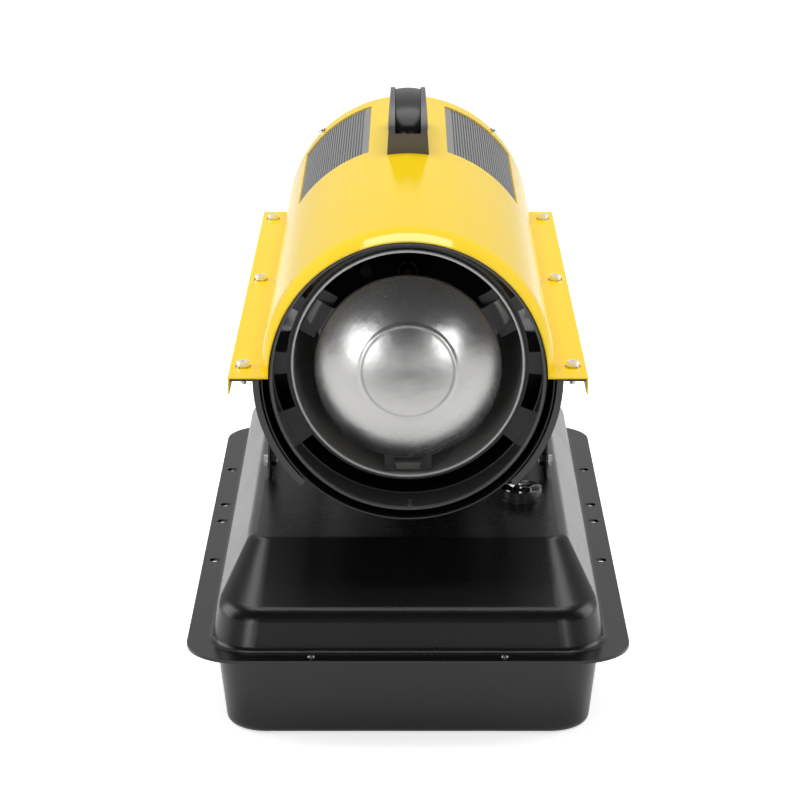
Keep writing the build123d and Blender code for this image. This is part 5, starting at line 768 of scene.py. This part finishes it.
def brushed_group():
    """Long fine strokes of ground steel, drawn round the barrel's axis."""
    group, given, out = made_group(
        "brushed_surface",
        {
            "Colour": (0.6, 0.6, 0.6, 1.0),
            "Axis Height": AXIS_Z,
            "Stroke Scale": 900.0,
            "Stroke Depth": 0.3,
            "Wave Depth": 0.5,
            "Base Roughness": 0.3,
            "Smudge": 0.1,
            "Shade Drift": 0.1,
        },
        ("Colour", "Roughness", "Height"),
    )
    where = group.nodes.new("ShaderNodeTexCoord").outputs["Object"]
    parts = group.nodes.new("ShaderNodeSeparateXYZ")
    group.links.new(where, parts.inputs[0])
    rise = maths(group, "SUBTRACT", parts.outputs["Z"], given["Axis Height"])
    reach = hypotenuse(group, parts.outputs["X"], rise)
    bearing = maths(group, "ARCTAN2", parts.outputs["X"], rise)
    wound = group.nodes.new("ShaderNodeCombineXYZ")
    group.links.new(reach, wound.inputs["X"])
    group.links.new(parts.outputs["Y"], wound.inputs["Y"])
    group.links.new(maths(group, "MULTIPLY", bearing, STROKE_STRETCH), wound.inputs["Z"])
    stroke = noise(group, wound.outputs[0], given["Stroke Scale"], detail=2.0)
    cloud = noise(group, where, STEEL_CLOUD_SCALE, detail=4.0, rough=0.6)
    height = maths(group, "MULTIPLY", cloud, given["Wave Depth"])
    height = maths(group, "MULTIPLY_ADD", stroke, given["Stroke Depth"], height)
    group.links.new(height, out["Height"])
    rough = maths(group, "MULTIPLY_ADD", cloud, given["Smudge"], given["Base Roughness"])
    rough = maths(group, "MULTIPLY_ADD", stroke, STROKE_ROUGHNESS, rough)
    group.links.new(rough, out["Roughness"])
    drift = maths(group, "MULTIPLY_ADD", cloud, given["Shade Drift"], 1.0)
    group.links.new(scaled_colour(group, given["Colour"], drift), out["Colour"])
    return group


BRUSHED_SURFACE = brushed_group()


def brushed(
    name, colour, roughness, stroke=900.0, depth=0.06, wave=0.5, smudge=0.1, drift=0.1, **sockets
):
    """Ground or rolled bare metal; further sockets go on the shader."""
    values = {
        "Colour": (*colour, 1.0),
        "Axis Height": AXIS_Z,
        "Stroke Scale": stroke,
        "Stroke Depth": depth,
        "Wave Depth": wave,
        "Base Roughness": roughness,
        "Smudge": smudge,
        "Shade Drift": drift,
    }
    sockets = {"Metallic": 1.0, **sockets}
    return grouped_finish(name, BRUSHED_SURFACE, values, STEEL_BUMP, sockets)


chamber_steel = brushed("chamber_steel", (0.58, 0.57, 0.56), 0.42, smudge=0.2, Metallic=0.4)
finish_nodes(chamber_steel, "chamber_tube")
soot_steel = brushed("soot_steel", (0.012, 0.011, 0.011), 0.7, smudge=0.2, Metallic=0.4)
finish_nodes(soot_steel, "burner_head")

# Flame dome: a spun cap of satin stainless steel that hangs before the chamber on three
# legs. A fine bead is rolled round it, and two spots weld each leg to the tube.
DOME_R = 0.0675
DOME_RISE = 0.017
DOME_SHEET = 0.001
DOME_LIP = 0.0008
BEAD_R = 0.0343
BEAD_RISE = 0.0005
BEAD_HALF = 0.0016
DOME_RINGS = 60
DOME_FULLNESS = 2.15
NOSE_RISE = 0.0004
NOSE_R = 0.009
LEG_WIDTH = 0.0175
LEG_ROOT_WIDTH = 0.0225
LEG_FOOT = 0.022
LEG_ANGLES = (30, 150, 270)
LEG_GAP = 0.0002
SPOT_OUTLINE = ((0, 0.0005), (0.0010, 0.0004), (0.0016, 0.0))
SPOT_ASIDE = 0.0052
SPOT_BEHIND_EDGE = 0.0170
DOME_EDGE_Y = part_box("flame_dome")[0].y + DOME_RISE
TUBE_BORE_R = 0.0823


def dome_height(radius):
    """How far the dome stands before its edge at one radius."""
    share = radius / DOME_R
    crown = (DOME_RISE - NOSE_RISE) * (1 - share**DOME_FULLNESS)
    nose = NOSE_RISE * math.exp(-((radius / NOSE_R) ** 2))
    bead = BEAD_RISE * math.exp(-(((radius - BEAD_R) / (BEAD_HALF / 2)) ** 2))
    return crown + nose + bead


ring_radii = [DOME_R * ring / DOME_RINGS for ring in range(DOME_RINGS + 1)]
dome_outline = [(radius, dome_height(radius)) for radius in ring_radii]
dome_outline.append((DOME_R + DOME_LIP / 8, -DOME_LIP))
dome = turned_piece(
    "flame_dome_cap",
    dome_outline,
    (0, DOME_EDGE_Y, AXIS_Z),
    (math.pi / 2, 0, 0),
    segments=128,
    smooth=60,
)
modified(dome, "SOLIDIFY", thickness=DOME_SHEET, offset=-1.0)


def about_barrel(angle):
    """A turn about the barrel's axis that takes straight up to an angle from +X."""
    axis_point = Matrix.Translation((0, 0, AXIS_Z))
    return axis_point @ Matrix.Rotation(math.radians(90 - angle), 4, "Y") @ axis_point.inverted()


def bent_strip(name, path, sheet):
    """A strip of sheet bent along (y, z, width) points, with its middle on x = 0."""
    bpy.ops.object.select_all(action="DESELECT")
    bpy.ops.mesh.primitive_plane_add(size=1, location=(0, 0, 0))
    piece = bpy.context.object
    piece.name = name
    run, rise = path[1][0] - path[0][0], path[1][1] - path[0][1]
    piece.scale = (path[0][2], math.hypot(run, rise), 1)
    piece.rotation_euler = (math.atan2(rise, run), 0, 0)
    piece.location = (0, path[0][0] + run / 2, path[0][1] + rise / 2)
    bpy.ops.object.transform_apply(location=True, rotation=True, scale=True)
    far_y, far_z = path[1][:2]
    picked(piece, lambda place: math.hypot(place.y - far_y, place.z - far_z) < sheet / 10)
    for start, stop in zip(path[1:], path[2:]):
        step = (0, stop[0] - start[0], stop[1] - start[1])
        bpy.ops.mesh.extrude_edges_move(TRANSFORM_OT_translate={"value": step})
        bpy.ops.transform.resize(value=(stop[2] / start[2], 1, 1), center_override=(0, 0, 0))
    bpy.ops.object.mode_set(mode="OBJECT")
    modified(piece, "SOLIDIFY", thickness=sheet, offset=0.0)
    modified(piece, "BEVEL", width=sheet / 4, segments=2)
    bpy.ops.object.shade_smooth_by_angle(angle=math.radians(50))
    return piece


leg_reach = math.sqrt((TUBE_BORE_R - LEG_GAP) ** 2 - (LEG_WIDTH / 2) ** 2) - DOME_SHEET / 2
# Each point of a leg: how far behind the dome's edge, how far out, and how wide.
leg_path = (
    (0.0004, DOME_R - 0.005, LEG_ROOT_WIDTH),
    (0.0008, DOME_R - 0.001, LEG_ROOT_WIDTH),
    (0.0024, DOME_R + 0.0015, LEG_ROOT_WIDTH - 0.002),
    (0.0072, DOME_R + 0.0075, LEG_WIDTH + 0.001),
    (0.0102, leg_reach - 0.0022, LEG_WIDTH),
    (0.0118, leg_reach - 0.0006, LEG_WIDTH),
    (0.0138, leg_reach, LEG_WIDTH),
    (LEG_FOOT, leg_reach, LEG_WIDTH),
)
leg_path = [(DOME_EDGE_Y + y, AXIS_Z + z, wide) for y, z, wide in leg_path]
leg_parts = [bent_strip("dome_leg", leg_path, DOME_SHEET)]
for side in (-1, 1):
    spot = turned_piece(
        "weld_spot",
        SPOT_OUTLINE,
        (side * SPOT_ASIDE, DOME_EDGE_Y + SPOT_BEHIND_EDGE, AXIS_Z + leg_reach - DOME_SHEET / 2),
        (math.pi, 0, 0),
        segments=16,
        smooth=80,
    )
    leg_parts.append(spot)
leg = joined("dome_leg", leg_parts)
legs = [copied(leg, about_barrel(angle)) for angle in LEG_ANGLES]
bpy.data.objects.remove(leg)
dome = joined("flame_dome_cap", [dome, *legs])
dome_steel = brushed(
    "dome_steel", (0.50, 0.495, 0.49), 0.25,
    stroke=1200.0, depth=0.006, wave=3.0, smudge=0.2, drift=0.2,
)
fitted(dome, dome_steel, "root", "dome_steel", "flame_dome")

# Burner: a sooty steel nozzle holder with its brass nozzle, two white ceramic
# electrodes fed by a potted transformer, and the photocell that watches the flame.
finish_nodes(soot_steel, "nozzle_holder")
# Painted shade: the nozzle's brass is made dark brown for the dark depth of the chamber.
nozzle_brass = coated("nozzle_brass", (0.10, 0.065, 0.028), 0.5, smudge=0.2, Metallic=1.0)
finish_nodes(nozzle_brass, "fuel_nozzle")
ceramic_white = coated("ceramic_white", (0.78, 0.76, 0.70), 0.3)
finish_nodes(ceramic_white, "spark_electrodes")
finish_nodes(guide_plastic, "photocell", "ignition_transformer", "hose_clamps")

# Motor: a painted steel case over a laminated stator with red varnished windings, a
# ground rotor and shaft, and two ball bearings in cast end bells.
cast_alloy = coated(
    "cast_alloy", (0.42, 0.42, 0.43), 0.45,
    grain=420.0, depth=0.3, smudge=0.16, drift=0.14, Metallic=1.0,
)
finish_nodes(cast_alloy, "motor_bells")
motor_steel = coated("motor_steel", (0.035, 0.038, 0.045), 0.35, grain=700.0, depth=0.12)
finish_nodes(motor_steel, "motor_case")
stator_iron = coated("stator_iron", (0.22, 0.09, 0.045), 0.45, grain=300.0, depth=0.4, drift=0.3)
finish_nodes(stator_iron, "motor_stator")
rotor_steel = brushed("rotor_steel", (0.55, 0.55, 0.56), 0.28)
finish_nodes(rotor_steel, "motor_rotor")
bearing_steel = brushed("bearing_steel", (0.66, 0.66, 0.67), 0.16)
finish_nodes(bearing_steel, "motor_bearings")

# Fan: five blades pressed from alloy sheet, cambered and twisted from root to tip, and
# let into a turned hub that is pushed on the motor's shaft.
fan_low, fan_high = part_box("fan")
FAN_MIDDLE_Y = (fan_low.y + fan_high.y) / 2
FAN_R = 0.0938
FAN_HUB_R = 0.020
FAN_HUB_HALF = 0.011
SHAFT_R = 0.00402
BLADES = 5
BLADE_CHORD = 0.056
BLADE_SHEET = 0.0014
ROOT_PITCH = math.radians(38)
TIP_PITCH = math.radians(27)
BLADE_CAMBER = 0.0035
ROOT_SINK = 0.0015
ROOT_CHORD_SHARE = 0.62
FULL_CHORD_SPAN = 0.82
TIP_SPAN = 0.2
TIP_ROUNDING = 0.10
hub = turned_piece(
    "fan_hub",
    (
        (SHAFT_R, FAN_HUB_HALF),
        (FAN_HUB_R - 0.006, FAN_HUB_HALF),
        (FAN_HUB_R - 0.0012, FAN_HUB_HALF - 0.0035),
        (FAN_HUB_R, FAN_HUB_HALF - 0.0050),
        (FAN_HUB_R, 0.0010 - FAN_HUB_HALF),
        (FAN_HUB_R - 0.001, -FAN_HUB_HALF),
        (SHAFT_R, -FAN_HUB_HALF),
        (SHAFT_R, FAN_HUB_HALF),
    ),
    (0, FAN_MIDDLE_Y, AXIS_Z),
    (math.pi / 2, 0, 0),
)
bpy.ops.object.select_all(action="DESELECT")
bpy.ops.mesh.primitive_grid_add(x_subdivisions=14, y_subdivisions=18, size=2, location=(0, 0, 0))
blade = bpy.context.object
# The blade's twist, camber and outline are formulas of the span, which no operator gives.
for vertex in blade.data.vertices:
    span = (vertex.co.y + 1) / 2
    radius = FAN_HUB_R - ROOT_SINK + span * (FAN_R - FAN_HUB_R + ROOT_SINK)
    widening = math.sin(math.pi * min(span + 1 - FULL_CHORD_SPAN, 1.0) / 2)
    chord = BLADE_CHORD * (ROOT_CHORD_SHARE + (1 - ROOT_CHORD_SHARE) * widening)
    tip_round = 1 - TIP_ROUNDING * max(0.0, span - 1 + TIP_SPAN) / TIP_SPAN
    along = vertex.co.x * chord / 2 * tip_round
    camber = BLADE_CAMBER * (1 - vertex.co.x**2)
    pitch = ROOT_PITCH + (TIP_PITCH - ROOT_PITCH) * span
    sideways = along * math.cos(pitch) - camber * math.sin(pitch)
    forwards = along * math.sin(pitch) + camber * math.cos(pitch)
    lean = sideways / radius
    vertex.co = Vector((radius * math.sin(lean), forwards, radius * math.cos(lean)))
modified(blade, "SOLIDIFY", thickness=BLADE_SHEET, offset=0.0)
placed(blade, (0, FAN_MIDDLE_Y, AXIS_Z))
bpy.ops.object.shade_smooth_by_angle(angle=math.radians(40))
blade_angles = [90 - 360 / BLADES * (number + 0.5) for number in range(BLADES)]
blades = [copied(blade, about_barrel(angle)) for angle in blade_angles]
bpy.data.objects.remove(blade)
fan = joined("fan_wheel", [hub, *blades])
fan_alloy = brushed("fan_alloy", (0.55, 0.555, 0.56), 0.34, smudge=0.16)
fitted(fan, fan_alloy, "fan_rotor", "fan_alloy", "fan")

# Air pump: a vane pump on the shaft's end with a carbon rotor in a cast body. Its cast
# cover, screwed on behind, holds two felt filters for the air in and out.
finish_nodes(cast_alloy, "pump_body", "pump_cover", "filter_cover")
pump_carbon = coated("pump_carbon", (0.03, 0.03, 0.031), 0.5)
finish_nodes(pump_carbon, "pump_rotor")
filter_felt = coated("filter_felt", (0.72, 0.69, 0.62), 0.9, grain=1500.0, depth=0.9, drift=0.2)
finish_nodes(filter_felt, "pump_filters")

# Fan guard: rings and spokes of steel wire, welded together inside a flanged band,
# coated black and screwed into the barrel's end.
guard_low, guard_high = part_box("fan_guard")
GUARD_REAR_Y = guard_high.y
GUARD_R = (guard_high.x - guard_low.x) / 2
GUARD_RIM = guard_high.y - guard_low.y
GUARD_SHEET = 0.0014
GUARD_FLANGE = 0.0095
WIRE_R = 0.0011
SPOKE_WIRE_R = 1.1 * WIRE_R
GUARD_RINGS = (0.0105, 0.0225, 0.0345, 0.0465, 0.0585, 0.0705, 0.0825, 0.0925)
GUARD_SPOKES = 6
SPOKE_DROP = 1.6 * WIRE_R
SPOKE_HALF = GUARD_R - 0.003
wire_y = GUARD_REAR_Y - 2 * WIRE_R
guard_parts = [
    turned_piece(
        "guard_band",
        (
            (GUARD_R - GUARD_FLANGE, 0.0),
            (GUARD_R - 0.0012, 0.0),
            (GUARD_R - 0.0004, -0.0003),
            (GUARD_R, -0.0011),
            (GUARD_R, -GUARD_RIM),
            (GUARD_R - GUARD_SHEET, -GUARD_RIM),
            (GUARD_R - GUARD_SHEET, -GUARD_SHEET),
            (GUARD_R - GUARD_FLANGE, -GUARD_SHEET),
            (GUARD_R - GUARD_FLANGE, 0.0),
        ),
        (0, GUARD_REAR_Y, AXIS_Z),
        (-math.pi / 2, 0, 0),
        segments=128,
    )
]
for radius in GUARD_RINGS:
    bpy.ops.object.select_all(action="DESELECT")
    bpy.ops.mesh.primitive_torus_add(
        major_radius=radius, minor_radius=WIRE_R, major_segments=96, minor_segments=10
    )
    wire = placed(bpy.context.object, (0, wire_y, AXIS_Z), (math.pi / 2, 0, 0))
    bpy.ops.object.shade_smooth()
    guard_parts.append(wire)
bpy.ops.object.select_all(action="DESELECT")
bpy.ops.mesh.primitive_cylinder_add(vertices=12, radius=SPOKE_WIRE_R, depth=2 * SPOKE_HALF)
spoke = bpy.context.object
bpy.ops.object.shade_smooth_by_angle(angle=math.radians(40))
guard_middle = Matrix.Translation((0, wire_y - SPOKE_DROP, AXIS_Z))
for number in range(GUARD_SPOKES):
    turn = Matrix.Rotation(math.pi * number / GUARD_SPOKES, 4, "Y")
    guard_parts.append(copied(spoke, guard_middle @ turn))
bpy.data.objects.remove(spoke)
guard = joined("wire_guard", guard_parts)
guard_black = coated("guard_black", (0.02, 0.02, 0.021), 0.32, grain=1500.0)
fitted(guard, guard_black, "root", "vent_black", "fan_guard")

# Controls: a moulded panel closes the control box at the rear, with the circuit board
# behind it. It carries a red rocker switch, a tinted window and the cord's gland.
panel_plastic = coated("panel_plastic", (0.028, 0.028, 0.03), 0.42, grain=1900.0, depth=0.12)
finish_nodes(panel_plastic, "control_panel", "cable_gland")
board_green = coated("board_green", (0.012, 0.12, 0.035), 0.3)
finish_nodes(board_green, "circuit_board")
display_glass = coated("display_glass", (0.05, 0.004, 0.004), 0.08, depth=0.005, smudge=0.02)
finish_nodes(display_glass, "display_window")
switch_red = coated("switch_red", (0.55, 0.012, 0.01), 0.22, depth=0.01, smudge=0.04)
finish_nodes(switch_red, "power_switch")

# Thermostat: a black moulded knob, ribbed for grip and pushed on the spindle. A white
# mark on its face points at a scale that is printed on the panel.
print_white = coated("print_white", (0.75, 0.75, 0.74), 0.5)
knob_low, knob_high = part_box("thermostat_knob")
KNOB_X = (knob_low.x + knob_high.x) / 2
KNOB_Z = (knob_low.z + knob_high.z) / 2
KNOB_R = (knob_high.x - knob_low.x) / 2
KNOB_DEPTH = 0.012
KNOB_SPINDLE_R = 0.0029
KNOB_RIBS = 24
RIB_DEPTH = 0.0005
RIB_END = 0.0010
SIDE_MARGIN = 0.0006
knob_front = knob_high.y - KNOB_DEPTH
knob_r = KNOB_R - RIB_DEPTH
knob = turned_piece(
    "thermostat_dial",
    (
        (0, KNOB_DEPTH - 0.0008),
        (knob_r - 0.0030, KNOB_DEPTH - 0.0008),
        (knob_r - 0.0022, KNOB_DEPTH),
        (knob_r - 0.0010, KNOB_DEPTH - 0.0001),
        (knob_r - 0.0004, KNOB_DEPTH - 0.0012),
        (knob_r, 0.0030),
        (knob_r, 0.0012),
        (knob_r - 0.0003, 0.0),
        (KNOB_SPINDLE_R, 0.0),
        (KNOB_SPINDLE_R, knob_low.y - knob_front),
        (0, knob_low.y - knob_front),
    ),
    (KNOB_X, knob_front, KNOB_Z),
    (-math.pi / 2, 0, 0),
    segments=96,
)


def on_knob_rib(place):
    """Whether a point of the knob's side lies on the crest of a rib."""
    across, rise = place.x - KNOB_X, place.z - KNOB_Z
    on_side = math.hypot(across, rise) > knob_r - SIDE_MARGIN
    between = RIB_END < place.y - knob_front < KNOB_DEPTH - RIB_END
    return on_side and between and math.cos(KNOB_RIBS * math.atan2(rise, across)) > 0


rib_factor = KNOB_R / knob_r
resized(knob, on_knob_rib, (rib_factor, 1, rib_factor), (KNOB_X, 0, KNOB_Z))
fitted(knob, cap_plastic, "heat_knob", "cap_plastic", "thermostat_knob")
MARK_SIZE = (0.0009, 0.0006, 0.0052)
MARK_DROP = 0.0008
MARK_FROM_EDGE = 0.0054
MARK_BEVEL = 0.0001
mark = modified(block("dial_mark", MARK_SIZE), "BEVEL", width=MARK_BEVEL, segments=3)
bpy.ops.object.shade_smooth_by_angle(angle=math.radians(40))
placed(mark, (KNOB_X, knob_high.y - MARK_DROP, KNOB_Z + knob_r - MARK_FROM_EDGE))
fitted(mark, print_white, "heat_knob", "cap_plastic")

SCALE_TICKS = 11
SCALE_SWEEP = math.radians(270)
LONG_TICK = 0.0022
SHORT_TICK = 0.0014
LONG_EVERY = 5
SCALE_TICK_WIDTH = 0.0005
PRINT_DEPTH = 0.0002
SCALE_GAP = 0.0022
PANEL_GAP = 0.0003
scale_r = KNOB_R + SCALE_GAP
tick = block("scale_tick", (SCALE_TICK_WIDTH, PRINT_DEPTH, 1))
ticks = []
for number in range(SCALE_TICKS):
    bearing = SCALE_SWEEP * (number / (SCALE_TICKS - 1) - 0.5)
    length = SHORT_TICK if number % LONG_EVERY else LONG_TICK
    place = (
        KNOB_X + (scale_r + length / 2) * math.sin(bearing),
        knob_front - PANEL_GAP,
        KNOB_Z + (scale_r + length / 2) * math.cos(bearing),
    )
    turn = Matrix.Rotation(bearing, 4, "Y") @ Matrix.Scale(length, 4, (0, 0, 1))
    ticks.append(copied(tick, Matrix.Translation(place) @ turn))
bpy.data.objects.remove(tick)
fitted(joined("knob_scale", ticks), print_white, "root", "panel_plastic")

# Display: two lit red digits, of up to seven bars each, show the room's temperature. The
# bars are thin blocks on the face of the tinted window.
DIGIT_BARS = {
    "a": (0, 1, False),
    "b": (1, 0.5, True),
    "c": (1, -0.5, True),
    "d": (0, -1, False),
    "e": (-1, -0.5, True),
    "f": (-1, 0.5, True),
    "g": (0, 0, False),
}
DIGIT_SHAPES = ("abged", "abfgcd")
DIGIT_HALF = (0.0017, 0.0034)
DIGIT_SPACING = 0.0062
BAR_WIDTH = 0.0006
BAR_DEPTH = 0.0002
display_low, display_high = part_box("display_window")
display_middle = (display_low + display_high) / 2
upright_bar = block("upright_bar", (BAR_WIDTH, BAR_DEPTH, DIGIT_HALF[1] - BAR_WIDTH))
level_bar = block("level_bar", (2 * DIGIT_HALF[0] - BAR_WIDTH, BAR_DEPTH, BAR_WIDTH))
bars = []
for number, shape in enumerate(DIGIT_SHAPES):
    digit_x = display_middle.x + DIGIT_SPACING * (0.5 - number)
    for bar in shape:
        across, rise, upright = DIGIT_BARS[bar]
        place = (
            digit_x - across * DIGIT_HALF[0],
            display_high.y + BAR_DEPTH / 2,
            display_middle.z + rise * DIGIT_HALF[1],
        )
        bars.append(copied(upright_bar if upright else level_bar, Matrix.Translation(place)))
bpy.data.objects.remove(upright_bar)
bpy.data.objects.remove(level_bar)
lit_red = coated(
    "lit_red", (0.8, 0.02, 0.01), 0.4,
    Emission_Color=(1.0, 0.03, 0.01, 1.0), Emission_Strength=0.8,
)
fitted(joined("display_digits", bars), lit_red, "root", "display_glass")

# Fuel and air lines: rubber hoses between pickup, pump and burner, held down on the
# deck, and the sleeved leads of the igniter, photocell and motor.
hose_rubber = coated("hose_rubber", (0.014, 0.014, 0.0145), 0.5, grain=1300.0, depth=0.12)
finish_nodes(hose_rubber, "hoses")
lead_sleeve = coated("lead_sleeve", (0.38, 0.035, 0.02), 0.42)
finish_nodes(lead_sleeve, "leads")
pickup_metal = coated("pickup_metal", (0.58, 0.40, 0.17), 0.32, Metallic=1.0)
finish_nodes(pickup_metal, "fuel_pickup")
